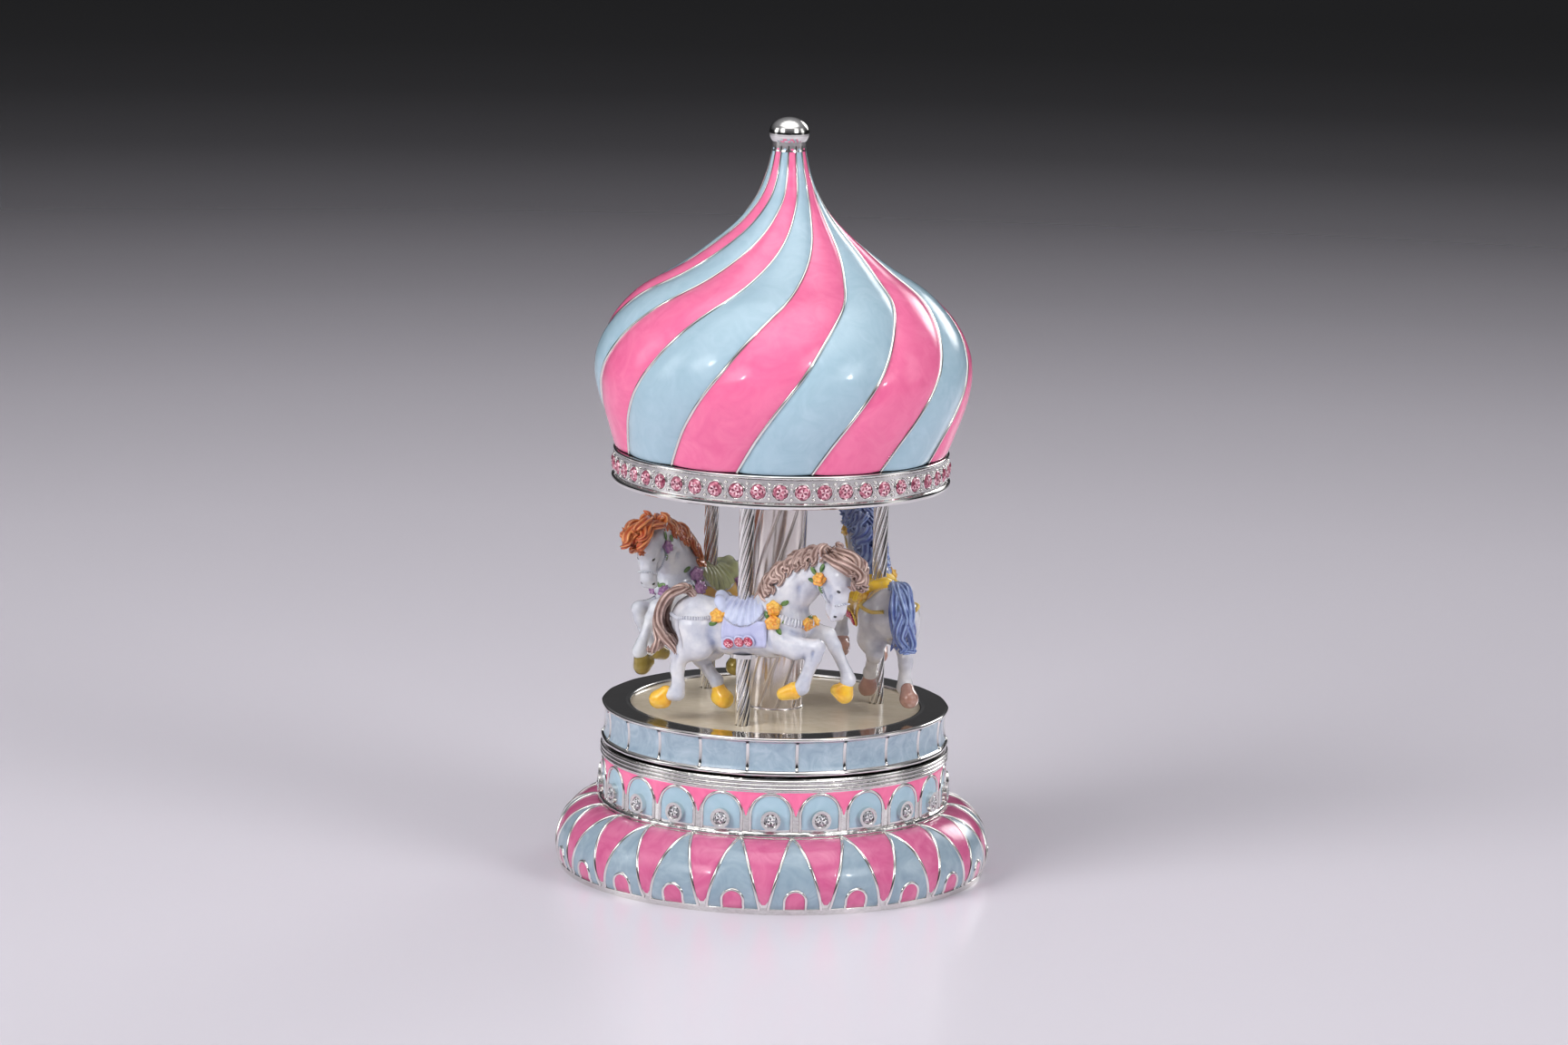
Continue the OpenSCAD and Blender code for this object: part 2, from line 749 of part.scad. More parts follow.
module music_cylinder() {
    pitch = drum_l / note_count;
    pins_per_note = 5;
    color(brass) difference() {
        union() {
            along_x(drum_x) cylinder(r = drum_r, h = drum_l);
            for (i = [0:note_count - 1], k = [0:pins_per_note - 1])
                translate([drum_x + pitch * (i + 0.5), 0, cylinder_z])
                    rotate([(i * 47 + k * 72 + 29 * (i * k % 5)) % 360, 0, 0])
                        translate([0, 0, drum_r - 0.4])
                            cylinder(r = 0.2, h = pin_top - drum_r + 0.4, $fn = 16);
        }
        along_x(drum_x - 1) cylinder(r = arbor_r, h = drum_l + 2);
    }
}

// ---- Governor ----

module governor_arbor() {
    color(steel) along_x(worm_wheel_x - 0.5, governor_y)
        cylinder(r = thin_arbor_r, h = outer_bracket_x + bracket_t + 0.8 - worm_wheel_x);
}

module governor_pinion() {
    color(brass) along_x(wheel_x, governor_y) rotate([0, 0, 90 + 180 / governor_pinion_teeth])
        gear(governor_pinion_teeth, wheel_module, wheel_t, thin_arbor_r, add = 0.8);
}

module worm_wheel() {
    color(brass) along_x(worm_wheel_x, governor_y) rotate([0, 0, 90])
        gear(worm_wheel_teeth, worm_module, wheel_t, thin_arbor_r, play = 0.2, add = 0.6, ded = 1.1);
}

module governor_worm() {
    thread_l = 4.8;
    thread_lift = 0.33;
    turns = thread_l / (PI * worm_module);
    color(steel) translate([worm_x, worm_y, 0]) {
        translate([0, 0, governor_low_z - 0.4]) cylinder(r = 0.5, h = governor_high_z + 4 - governor_low_z);
        translate([0, 0, cylinder_z - thread_l / 2])
            rotate([0, 0, 90]) linear_extrude(thread_l, twist = -360 * turns, slices = 48, $fn = 14)
                rotate([0, 0, -180 * turns]) translate([thread_lift, 0]) circle(worm_r - 0.02);
    }
}

module governor_fan() {
    fan_z = governor_high_z + governor_arm_t + 0.3;
    color("white") translate([worm_x, worm_y, fan_z]) difference() {
        union() {
            cylinder(r = 1.3, h = 2.2);
            translate([-3.9, -0.3, 0.2]) cube([7.8, 0.6, 1.8]);
        }
        translate([0, 0, -1]) cylinder(r = 0.5, h = 5);
    }
}

// ---- Output ----

base_casting();
base_stones();
base_plate();
base_plate_screws();
movement_bedplate();
movement_screws();
comb();
comb_screws();
inner_bracket();
outer_bracket();
governor_bracket();
bridge();
bridge_screws();
centre_post();
turntable_hub();
turntable_gear();
platform_ring();
deck_disc();
centre_column();
pole_front();
pole_right();
pole_left();
pole_collars();
pole_nuts();
horse_front();
horse_right();
horse_left();
horse_front_stones();
horse_right_stones();
horse_left_stones();
ceiling_plate();
stone_band();
band_stones();
dome_shell();
tie_rod();
finial();
barrel_cup();
barrel_cover();
mainspring();
drive_gear();
winding_arbor();
winding_key();
music_cylinder();
cylinder_arbor();
cylinder_pinion();
cylinder_wheel();
governor_arbor();
governor_pinion();
worm_wheel();
governor_worm();
governor_fan();
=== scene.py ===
"""Carousel music box: the looks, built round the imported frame. Lengths here are in millimetres."""
import json
from math import cos, pi, radians, sin

import bpy
import numpy as np
from mathutils import Matrix, Vector


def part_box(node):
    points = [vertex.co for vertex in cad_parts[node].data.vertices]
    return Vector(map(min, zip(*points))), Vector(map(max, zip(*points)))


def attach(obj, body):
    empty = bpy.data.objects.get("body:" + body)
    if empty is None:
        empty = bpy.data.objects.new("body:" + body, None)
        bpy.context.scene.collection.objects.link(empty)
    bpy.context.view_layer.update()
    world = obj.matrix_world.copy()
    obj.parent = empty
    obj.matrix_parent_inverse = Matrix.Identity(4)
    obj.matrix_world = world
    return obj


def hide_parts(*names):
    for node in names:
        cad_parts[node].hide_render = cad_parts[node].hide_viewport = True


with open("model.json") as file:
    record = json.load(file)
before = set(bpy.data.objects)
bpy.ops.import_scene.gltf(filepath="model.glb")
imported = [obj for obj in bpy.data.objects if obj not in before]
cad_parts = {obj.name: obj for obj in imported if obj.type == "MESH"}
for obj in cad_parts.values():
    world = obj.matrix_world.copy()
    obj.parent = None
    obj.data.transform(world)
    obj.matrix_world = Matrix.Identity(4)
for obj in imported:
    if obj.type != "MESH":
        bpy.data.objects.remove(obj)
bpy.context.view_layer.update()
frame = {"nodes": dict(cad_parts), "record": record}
MM = 0.001
CELL_SINK = 0.05


def corners(node):
    """The lowest and highest corner of a CAD node, in millimetres."""
    low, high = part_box(node)
    return np.array(low) / MM, np.array(high) / MM


# ---- Driving sizes, from the frame ----

FOOT_R = corners("base_casting")[1][0]
PLATFORM_LOW, PLATFORM_HIGH = (c[2] for c in corners("platform_ring"))
PLATFORM_R = corners("platform_ring")[1][0] - 0.1
DECK_TOP = corners("deck_disc")[1][2]
CEILING_LOW = corners("ceiling_plate")[0][2]
BAND_R = corners("stone_band")[1][0]
DOME_LOW, DOME_HIGH = (c[2] for c in corners("dome_shell"))
DOME_R = corners("dome_shell")[1][0]
COLUMN_R = corners("centre_column")[1][0]
WAIST_R = 34.3
ARCHES = 22
ARCH_STEP = 360 / ARCHES
ARCH_PHASE = 6.5
BAND_PHASE = 15.9
BAR_PHASE = 7.7
BAND_STONES = 48
STRIPES = 14
SIDES = ("front", "right", "left")
FIRST_POLE = -18
POLE_CIRCLE = 20.5
BAND_STONE_Z = 81.2
DECK_EDGE_R = 28.7


# ---- Mesh building ----

class Sculpt:
    """Collects grids and faces, in millimetres, and makes them into one object."""

    def __init__(self):
        self.points, self.faces, self.tags, self.count = [], [], [], 0
        self.values = []

    def add(self, points, faces, tag=0, value=0.0):
        points = np.asarray(points, float).reshape(-1, 3)
        self.points.append(points)
        self.values.append(np.broadcast_to(np.asarray(value, float).reshape(-1), (len(points),)))
        self.faces += [tuple(int(i) + self.count for i in f) for f in faces]
        self.tags += [tag] * len(faces)
        self.count += len(points)

    def grid(self, points, tag=0, ring=False, flip=False, value=0.0):
        """A sheet of quads over rows of points. ring joins each row's last point to its first."""
        points = np.asarray(points, float)
        rows, cols = points.shape[:2]
        i = np.arange(rows * cols).reshape(rows, cols)
        if ring:
            i = np.hstack([i, i[:, :1]])
        quads = np.stack([i[:-1, :-1], i[:-1, 1:], i[1:, 1:], i[1:, :-1]], -1).reshape(-1, 4)
        self.add(points, quads[:, ::-1] if flip else quads, tag, value)

    def build(self, name, materials, body, slot, replaces=(), smooth=True):
        mesh = bpy.data.meshes.new(name)
        mesh.from_pydata((np.concatenate(self.points) * MM).tolist(), [], self.faces)
        mesh.polygons.foreach_set("material_index", self.tags)
        mesh.polygons.foreach_set("use_smooth", [smooth] * len(self.faces))
        # The paint attribute holds painted shade at enamel wires and in creases, painted highlight on hair
        # ridges and painted light on stone facets; on flowers it follows the petals' winding, on leaves it
        # grows towards their edges.
        layer = mesh.attributes.new("paint", "FLOAT", "POINT")
        layer.data.foreach_set("value", np.concatenate(self.values).astype(np.float32))
        for material in materials:
            mesh.materials.append(material)
        mesh.validate()
        piece = bpy.data.objects.new(name, mesh)
        bpy.context.scene.collection.objects.link(piece)
        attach(piece, body)
        if replaces:
            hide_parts(*replaces)
        return piece


def around(radius, angle, z):
    """A point at an angle from the front (-Y) towards +X, in degrees."""
    a = np.radians(angle)
    return np.stack(np.broadcast_arrays(radius * np.sin(a), -radius * np.cos(a), z), -1)


def unit(vectors):
    return vectors / (np.linalg.norm(vectors, axis=-1, keepdims=True) + 1e-12)


def facing(out):
    """The turn that takes +Z to a direction."""
    return np.array(Vector(out).to_track_quat("Z", "Y").to_matrix())


def smooth_curve(knots, count):
    """A Catmull-Rom curve through knots, with count points in all."""
    k = np.asarray(knots, float)
    k = np.vstack([2 * k[0] - k[1], k, 2 * k[-1] - k[-2]])
    t = np.linspace(0, len(k) - 3 - 1e-9, count)
    i = t.astype(int)
    f = (t - i)[:, None]
    a, b, c, d = k[i], k[i + 1], k[i + 2], k[i + 3]
    bend = (2 * a - 5 * b + 4 * c - d) * f ** 2 + (3 * b - a - 3 * c + d) * f ** 3
    return 0.5 * (2 * b + (c - a) * f + bend)


class Wall:
    """A surface of revolution about +Z. Its profile runs upwards, with the outside on its right."""

    def __init__(self, profile):
        self.profile = np.asarray(profile, float)
        step = np.diff(self.profile, axis=0)
        self.run = np.r_[0, np.cumsum(np.hypot(step[:, 0], step[:, 1]))]
        tangent = unit(np.gradient(self.profile, self.run, axis=0))
        self.out = np.stack([tangent[:, 1], -tangent[:, 0]], -1)
        self.length = self.run[-1]

    def look(self, s, table):
        return np.stack([np.interp(s, self.run, table[:, i]) for i in (0, 1)], -1)

    def at(self, angle, s, lift=0.0):
        p = self.look(s, self.profile) + self.look(s, self.out) * np.asarray(lift)[..., None]
        return around(p[..., 0], angle, p[..., 1])

    def normal(self, angle, s):
        n = self.look(s, self.out)
        return around(n[..., 0], angle, n[..., 1])


def crown(k, sharp=8):
    """Rises from 0 at the edges of 0..1 to 1 in the middle."""
    return 1 - np.abs(2 * k - 1) ** sharp


def cell(sculpt, wall, left, right, s, tag, high=0.1, shift=0.0):
    """An enamel cell between two edges, left and right in degrees, at heights s along the wall."""
    k = np.linspace(0, 1, 17)[None, :]
    left, right, s = (np.asarray(x, float)[:, None] for x in (left, right, s))
    ends = crown((s - s.min()) / np.ptp(s), 14)
    lift = (high + CELL_SINK) * crown(k) * ends - CELL_SINK
    angle = left + (right - left) * k + shift
    # shade marks the cell's edges and ends, where the enamel is darkened with painted shade.
    shade = (1 - crown(k, 5) * ends).ravel()
    sculpt.grid(wall.at(angle, np.broadcast_to(s, angle.shape), lift), tag, value=shade)


def wire(sculpt, points, normals, width, height):
    """A half-round wire laid along points, standing out along normals. Its size may change along it."""
    side = unit(np.cross(unit(np.gradient(points, axis=0)), normals))
    a = np.linspace(radians(-35), radians(215), 9)
    across = np.cos(a) * np.reshape(width, (-1, 1))
    upwards = np.sin(a) * np.reshape(height, (-1, 1))
    ring = side[:, None] * across[..., None] + normals[:, None] * upwards[..., None]
    sculpt.grid(points[:, None] + ring, flip=True)


def wall_wire(sculpt, wall, angle, s, width, height, lift=0.0):
    """A wire that follows a wall, at angles in degrees and heights along it."""
    s = s + 0 * angle
    angle = angle + 0 * s
    wire(sculpt, wall.at(angle, s, lift), wall.normal(angle, s), width, height)


def torus(sculpt, centre, out, radius, thick, count=28, sides=10):
    """A ring of round section, facing out."""
    a = np.linspace(0, 2 * pi, count, endpoint=False)[:, None]
    b = np.linspace(0, 2 * pi, sides, endpoint=False)[None, :]
    r = radius + thick * np.cos(b)
    local = np.stack([np.cos(a) * r, np.sin(a) * r, thick * np.sin(b) + 0 * a], -1)
    rows = local @ facing(out).T + centre
    sculpt.grid(np.vstack([rows, rows[:1]]), ring=True)


def cap(rows, cols, gap, tall=1.0):
    """The points of a ball sunk a little below its middle, with its top towards +Z."""
    b = np.linspace(-0.3, pi / 2 - gap, rows)[:, None]
    a = np.linspace(0, 2 * pi, cols, endpoint=False)[None, :]
    return np.stack([np.cos(b) * np.cos(a), np.cos(b) * np.sin(a), tall * np.sin(b) + 0 * a], -1)


def revolve(sculpt, profile, count=264, tag=0, shape=None):
    """A profile of (radius, height) turned about +Z. shape scales the radius at each angle."""
    profile = np.asarray(profile, float)
    angle = np.linspace(0, 360, count, endpoint=False)
    scale = np.ones(count) if shape is None else shape(angle)
    rows = around(profile[:, :1] * scale[None, :], angle[None, :], profile[:, 1:])
    sculpt.grid(rows, tag, ring=True)


# ---- Materials ----

def adder(tree):
    """A function that adds a node to a tree. In its values an underscore stands for a space."""
    def node(kind, links=(), **values):
        made = tree.nodes.new(kind)
        for key, value in values.items():
            if hasattr(made, key):
                setattr(made, key, value)
            else:
                made.inputs[key.replace("_", " ")].default_value = value
        for socket, source in links:
            tree.links.new(source, made.inputs[socket])
        return made

    return node


def shader(name):
    """A material with functions that add a node, feed a socket of its surface and set its constants."""
    material = bpy.data.materials.new(name)
    material.use_nodes = True
    tree = material.node_tree
    surface = tree.nodes["Principled BSDF"]

    def feed(socket, source):
        tree.links.new(source, surface.inputs[socket])

    def dial(**values):
        for key, value in values.items():
            surface.inputs[key.replace("_", " ")].default_value = value

    return material, adder(tree), feed, dial


def noise(node, scale, detail=3.0, rough=0.55):
    place = node("ShaderNodeTexCoord")
    links = [("Vector", place.outputs["Object"])]
    return node("ShaderNodeTexNoise", links, Scale=scale, Detail=detail, Roughness=rough)


def spread(node, source, **ends):
    """A value moved from one range to another."""
    return node("ShaderNodeMapRange", [("Value", source)], **ends).outputs["Result"]


def between(node, factor, colours, stops=None):
    ramp = node("ShaderNodeValToRGB", [("Fac", factor)])
    if stops is None:
        stops = np.linspace(0, 1, len(colours))
    while len(ramp.color_ramp.elements) < len(colours):
        ramp.color_ramp.elements.new(0.5)
    for element, colour, stop in zip(ramp.color_ramp.elements, colours, stops):
        element.position = stop
        element.color = (*colour, 1)
    return ramp.outputs["Color"]


def bumped(node, feed, height, strength, distance):
    made = node("ShaderNodeBump", [("Height", height)], Strength=strength, Distance=distance)
    feed("Normal", made.outputs["Normal"])


def enamel(name, dark, mid, light, edge, gloss=0.1, cloud=170.0):
    """Fired enamel: cloudy colour, darkened at the wires with painted shade, under a clear gloss that ripples
    slightly.
    """
    material, node, feed, dial = shader(name)
    clouds = noise(node, cloud, 4.0, 0.6)
    clouds.inputs["Distortion"].default_value = 1.6
    body = between(node, clouds.outputs["Fac"], (dark, mid, light), (0.3, 0.5, 0.72))
    # The paint attribute is high by the wires, where the edge colour mixes in as painted shade.
    rim = node("ShaderNodeAttribute", attribute_name="paint")
    painted_wire_shade = spread(node, rim.outputs["Fac"], From_Min=0.55, To_Max=0.75)
    mix = node("ShaderNodeMix", [("Factor", painted_wire_shade), (6, body)], data_type="RGBA")
    mix.inputs[7].default_value = (*edge, 1)
    feed("Base Color", mix.outputs[2])
    fine = noise(node, 900.0, 2.0)
    feed("Roughness", spread(node, fine.outputs["Fac"], To_Min=gloss * 0.8, To_Max=gloss * 1.5))
    dial(Coat_Weight=0.3, Coat_Roughness=0.03, IOR=1.45, Specular_IOR_Level=0.35)
    ripple = noise(node, 260.0, 2.0)
    bumped(node, feed, ripple.outputs["Fac"], 0.25, 0.0004)
    return material


def metal(name, dark, light, rough, grain=600.0, pits=0.15, depth=0.0001, metallic=1.0):
    """Plated or bare metal, with uneven polish and fine marks."""
    material, node, feed, dial = shader(name)
    wear = noise(node, grain * 0.4, 4.0, 0.65)
    feed("Base Color", between(node, wear.outputs["Fac"], (dark, light), (0.3, 0.65)))
    feed("Roughness", spread(node, wear.outputs["Fac"], To_Min=rough[0], To_Max=rough[1]))
    dial(Metallic=metallic)
    marks = noise(node, grain, 3.0, 0.7)
    bumped(node, feed, marks.outputs["Fac"], pits, depth)
    return material


def crystal(name, deep, mid, bright):
    """A foil-backed stone: each facet's colour is painted light, its own painted glint or dark patch, under a
    clear hard gloss.
    """
    material, node, feed, dial = shader(name)
    # spark holds each facet's painted light.
    spark = node("ShaderNodeAttribute", attribute_name="paint")
    feed("Base Color", between(node, spark.outputs["Fac"], (deep, mid, bright), (0.05, 0.5, 0.95)))
    dial(Metallic=0.25, Roughness=0.06, Coat_Weight=1.0, Coat_Roughness=0.01)
    scratch = noise(node, 1500.0, 1.0)
    bumped(node, feed, scratch.outputs["Fac"], 0.04, 0.00005)
    return material


def moulded(name, dark, light, rough):
    """Plain plastic, as it comes out of its mould."""
    material, node, feed, dial = shader(name)
    grain = noise(node, 500.0, 3.0)
    feed("Base Color", between(node, grain.outputs["Fac"], (dark, light), (0.3, 0.7)))
    dial(Roughness=rough)
    bumped(node, feed, grain.outputs["Fac"], 0.2, 0.0001)
    return material


def paint(name, deep, light, gloss=0.22, cloud=260.0, metallic=0.0, streaks=0.6):
    """Hand paint under lacquer: the paint attribute blends in the deep colour, as painted shade in the
    creases (on hair, painted highlight on the ridges), and random streaks of it cross the rest.
    """
    material, node, feed, dial = shader(name)
    clouds = noise(node, cloud, 4.0, 0.6)
    # This attribute carries painted shade in creases and grooves, and painted highlight on hair ridges.
    crease = node("ShaderNodeAttribute", attribute_name="paint")
    streak = spread(node, clouds.outputs["Fac"], From_Min=0.35, From_Max=0.75, To_Max=streaks)
    terms = [(0, crease.outputs["Fac"]), (1, clouds.outputs["Fac"]), (2, streak)]
    amount = node("ShaderNodeMath", terms, operation="MULTIPLY_ADD")
    middle = tuple((a + b) / 2 for a, b in zip(deep, light))
    feed("Base Color", between(node, amount.outputs[0], (light, middle, deep)))
    dial(Roughness=gloss, Metallic=metallic, Coat_Weight=1.0, Coat_Roughness=0.04)
    brush = noise(node, 380.0, 4.0, 0.6)
    bumped(node, feed, brush.outputs["Fac"], 0.5, 0.0004)
    return material


# The last colour of each enamel is its painted shade at the wires.
PINK = enamel(
    "pink_enamel", (0.86, 0.155, 0.335), (0.90, 0.18, 0.365), (0.93, 0.215, 0.40), (0.66, 0.12, 0.27))
BLUE = enamel(
    "blue_enamel", (0.36, 0.52, 0.62), (0.39, 0.55, 0.65), (0.435, 0.59, 0.69), (0.27, 0.40, 0.49))
PEARL = enamel(
    "pearl_enamel", (0.70, 0.60, 0.445), (0.76, 0.66, 0.51), (0.82, 0.73, 0.575), (0.66, 0.57, 0.43),
    0.12, 60.0)
# The foot's pink and blue are darker copies of the pink and blue enamel: painted shade over the whole foot.
SHADED_FOOT_PINK = enamel(
    "foot_pink_painted_shade", (0.57, 0.10, 0.245), (0.62, 0.135, 0.285), (0.68, 0.185, 0.335), (0.40, 0.075, 0.18))
SHADED_FOOT_BLUE = enamel(
    "foot_blue_painted_shade", (0.24, 0.33, 0.405), (0.285, 0.375, 0.45), (0.36, 0.45, 0.52), (0.17, 0.25, 0.32))
PANEL_BLUE = enamel(
    "panel_blue", (0.27, 0.36, 0.45), (0.335, 0.43, 0.515), (0.43, 0.52, 0.60), (0.19, 0.28, 0.36),
    cloud=240.0)
WHITE = enamel(
    "white_enamel", (0.70, 0.69, 0.74), (0.80, 0.79, 0.82), (0.86, 0.85, 0.87), (0.5, 0.5, 0.6))
SILVER = metal("silver_plate", (0.72, 0.70, 0.68), (0.84, 0.825, 0.805), (0.07, 0.15), pits=0.06)
MIRROR = metal("polished_ring", (0.60, 0.58, 0.56), (0.66, 0.64, 0.62), (0.05, 0.10), 300.0, 0.08)
CAST = metal("cast_silver", (0.70, 0.685, 0.665), (0.84, 0.825, 0.805), (0.12, 0.24), 420.0, 0.5, 0.0002)
SATIN = metal(
    "satin_silver", (0.74, 0.675, 0.645), (0.85, 0.79, 0.755), (0.14, 0.24), 500.0, 0.12, metallic=0.9)
STEEL = metal("zinc_steel", (0.42, 0.43, 0.45), (0.58, 0.59, 0.62), (0.25, 0.42), 800.0, 0.3)
COMB = metal("ground_steel", (0.50, 0.51, 0.53), (0.66, 0.67, 0.69), (0.18, 0.3), 1200.0, 0.2)
SPRING = metal("blued_steel", (0.10, 0.12, 0.20), (0.22, 0.24, 0.32), (0.2, 0.35), 700.0, 0.2)
BRASS = metal("machined_brass", (0.62, 0.43, 0.17), (0.80, 0.60, 0.28), (0.16, 0.32), 700.0, 0.25)
DRUM = metal("cylinder_brass", (0.66, 0.48, 0.22), (0.82, 0.65, 0.34), (0.12, 0.26), 900.0, 0.2)
# Each stone's three colours are painted facet light: dark facet, middle and glint.
PINK_STONE = crystal("pink_stone", (0.13, 0.01, 0.035), (0.52, 0.125, 0.20), (1.0, 0.66, 0.73))
ROSE_STONE = crystal("rose_stone", (0.24, 0.012, 0.04), (0.72, 0.09, 0.17), (1.0, 0.55, 0.62))
CLEAR_STONE = crystal("clear_stone", (0.01, 0.01, 0.012), (0.34, 0.35, 0.38), (1.0, 1.0, 1.0))
NYLON = moulded("nylon", (0.72, 0.71, 0.66), (0.82, 0.81, 0.77), 0.45)

BY_SLOT = {
    "enamel_pink": CAST, "enamel_blue": SILVER, "enamel_pearl": PEARL, "enamel_white": WHITE,
    "silver_plate": SILVER, "steel": STEEL, "comb_steel": COMB, "spring_steel": SPRING, "brass": BRASS,
    "cylinder_brass": DRUM, "clear_stone": CLEAR_STONE, "pink_stone": PINK_STONE, "fan_plastic": NYLON,
}
for part in frame["record"]["subparts"]:
    mesh = frame["nodes"][part["node"]].data
    mesh.materials.clear()
    mesh.materials.append(BY_SLOT[part["material_slot"]])


# ---- Foot: blue pointed arches on pink ----

def foot_profile():
    centre = WAIST_R + 0.1
    turn = np.radians(range(-14, 91, 2))
    bow = [(centre + (FOOT_R - centre) * cos(a), 4.6 + 8.7 * sin(a)) for a in turn]
    return [(FOOT_R - 0.72, 0.95), (FOOT_R - 0.7, 1.4), (FOOT_R - 0.35, 2.0)] + bow


FOOT = Wall(foot_profile())
FOOT_TOP = FOOT.length - 0.15
ARCH_HALF = 7.0
DOOR_HALF = 2.85
DOOR_LEG = 2.0
DOOR_R = 2.1


def arch_half(s):
    """Half the width of a pointed arch, in degrees, at a height along the foot."""
    return ARCH_HALF * (1 - np.clip(s / FOOT_TOP, 0, 1) ** 1.28)


def arch_edge(t):
    """The arch's outline: t from -1 at its left foot, through 0 at its tip, to 1."""
    s = FOOT_TOP * (1 - np.abs(t) ** 1.1)
    return np.sign(t) * arch_half(s), s


def door_edge(t):
    """The little round arch in its foot, walked the same way."""
    t = np.asarray(t, float)
    turn = np.clip(np.abs(t) / 0.6, 0, 1) * pi / 2
    leg = np.clip((np.abs(t) - 0.6) / 0.4, 0, 1)
    return np.sign(t) * DOOR_HALF * np.sin(turn), DOOR_LEG * (1 - leg) + DOOR_R * np.cos(turn)


def build_foot():
    fill, lines = Sculpt(), Sculpt()
    t = np.linspace(-1, 1, 61)
    k = np.linspace(0, 1, 13)[None, :]
    door, arch = door_edge(t), arch_edge(t)
    blue_angle = door[0][:, None] + (arch[0] - door[0])[:, None] * k
    blue_s = door[1][:, None] + (arch[1] - door[1])[:, None] * k
    feet = np.clip((1 - np.abs(t)) / 0.05, 0, 1)[:, None]
    blue_lift = 0.15 * crown(k) * feet - CELL_SINK
    # blue_shade marks the blue cell's edges, for painted shade at the wires.
    blue_shade = (1 - crown(k, 5) * feet).ravel()
    rows = np.linspace(0.9, FOOT_TOP - 0.1, 44)
    closing = np.clip((rows - 0.8) / 2.0, 0.02, 1) ** 0.55
    door_s = DOOR_LEG + (DOOR_R - 0.1) * np.sin(np.linspace(0, pi / 2, 12))
    door_rows = np.r_[np.linspace(0.15, DOOR_LEG, 8)[:-1], door_s]
    door_w = np.r_[np.full(7, DOOR_HALF), DOOR_HALF * np.cos(np.linspace(0, pi / 2 - 0.02, 12))]
    for i in range(ARCHES):
        a = ARCH_PHASE + ARCH_STEP * i
        fill.grid(FOOT.at(blue_angle + a, blue_s, blue_lift), 1, flip=True, value=blue_shade)
        half = (ARCH_STEP / 2 - arch_half(rows)) * closing
        middle = ARCH_STEP / 2
        cell(fill, FOOT, middle - half, middle + half, rows, 0, high=0.12, shift=a)
        cell(fill, FOOT, -door_w, door_w, door_rows, 0, high=0.14, shift=a)
        sill = np.linspace(-ARCH_HALF, ARCH_HALF, 24) + a
        wall_wire(lines, FOOT, sill, 0.12, 0.2, 0.3)
        for edge, width in ((arch_edge, 0.33), (door_edge, 0.3)):
            for side in (-1, 1):
                u = side * np.linspace(1, 0, 40)
                angle, s = edge(u + side * 1e-6)
                wall_wire(lines, FOOT, angle + a, s, width, 0.34)
    fill.build("foot_enamel", [SHADED_FOOT_PINK, SHADED_FOOT_BLUE], "base", "enamel_pink")
    lines.build("foot_wires", [SILVER], "base", "silver_plate")


# ---- Arched band with its stones ----

BAND_LOW, BAND_HIGH = 14.6, 22.5
BAND_WALL = Wall([(WAIST_R - 0.25, z) for z in np.linspace(BAND_LOW, BAND_HIGH, 9)])
LANCET = 3.95
LANCET_CENTRE = 3.35
STONE_Z = 16.9
WELD_Z = 13.75
BASE_STONE_R = 1.3
BAND_STONE_R = 1.5
CLOTH_STONE_R = 1.02


def degrees_on(radius, length):
    return np.degrees(length / radius)


def build_band():
    fill, lines = Sculpt(), Sculpt()
    r = WAIST_R - 0.25
    top = np.linspace(0, pi / 2 - 0.03, 18)
    rows = np.r_[np.linspace(0.15, LANCET_CENTRE, 8)[:-1], LANCET_CENTRE + LANCET * np.sin(top)]
    half = degrees_on(r, np.r_[np.full(7, LANCET), LANCET * np.cos(top)])
    turn = np.linspace(0, pi, 40)
    ring = LANCET + 0.05
    path_x = np.r_[np.full(10, ring), ring * np.cos(turn), np.full(10, -ring)]
    path_s = np.r_[np.linspace(-0.1, LANCET_CENTRE, 11)[:-1], LANCET_CENTRE + ring * np.sin(turn),
                   np.linspace(LANCET_CENTRE, -0.1, 11)[1:]]
    gap = degrees_on(r, 0.3)
    tri = np.linspace(2.95, 7.75, 30)
    reach = np.sqrt(np.clip(LANCET ** 2 - np.clip(tri - LANCET_CENTRE, 0, LANCET) ** 2, 0, None))
    side = degrees_on(r, reach) + gap
    closing = np.clip((tri - tri[0]) / 2.2, 0, 1) ** 0.6
    middle = ARCH_STEP / 2
    left = middle - (middle - side) * closing
    for i in range(ARCHES):
        a = BAND_PHASE + ARCH_STEP * i
        cell(fill, BAND_WALL, -half, half, rows, 1, high=0.1, shift=a)
        cell(fill, BAND_WALL, left, ARCH_STEP - left, tri, 0, high=0.12, shift=a)
        wall_wire(lines, BAND_WALL, degrees_on(r, path_x) + a, path_s, 0.34, 0.36)
        face = around(WAIST_R + 0.5, a, STONE_Z)
        out = around(1.0, a, 0.0)
        torus(lines, face, out, 1.5, 0.3)
        torus(lines, face - out * 0.6, out, 1.72, 0.24)
    weld = Sculpt()
    girth = np.linspace(0, 360, 400, endpoint=False)[None, :]
    walk = np.radians(girth)
    rise = np.linspace(0, pi, 12)[:, None]
    thick = 0.85 + 0.05 * np.sin(walk * 61 + 2 * np.sin(walk * 7)) + 0.04 * np.sin(walk * 149)
    weld.grid(around(WAIST_R - 0.35 + thick * np.sin(rise), girth, WELD_Z - thick * np.cos(rise)), ring=True)
    weld.build("band_weld", [CAST], "base", "silver_plate")
    fill.build("band_enamel", [PINK, BLUE], "base", "enamel_blue")
    lines.build("band_wires_and_bezels", [SILVER], "base", "silver_plate")


# ---- Stones ----

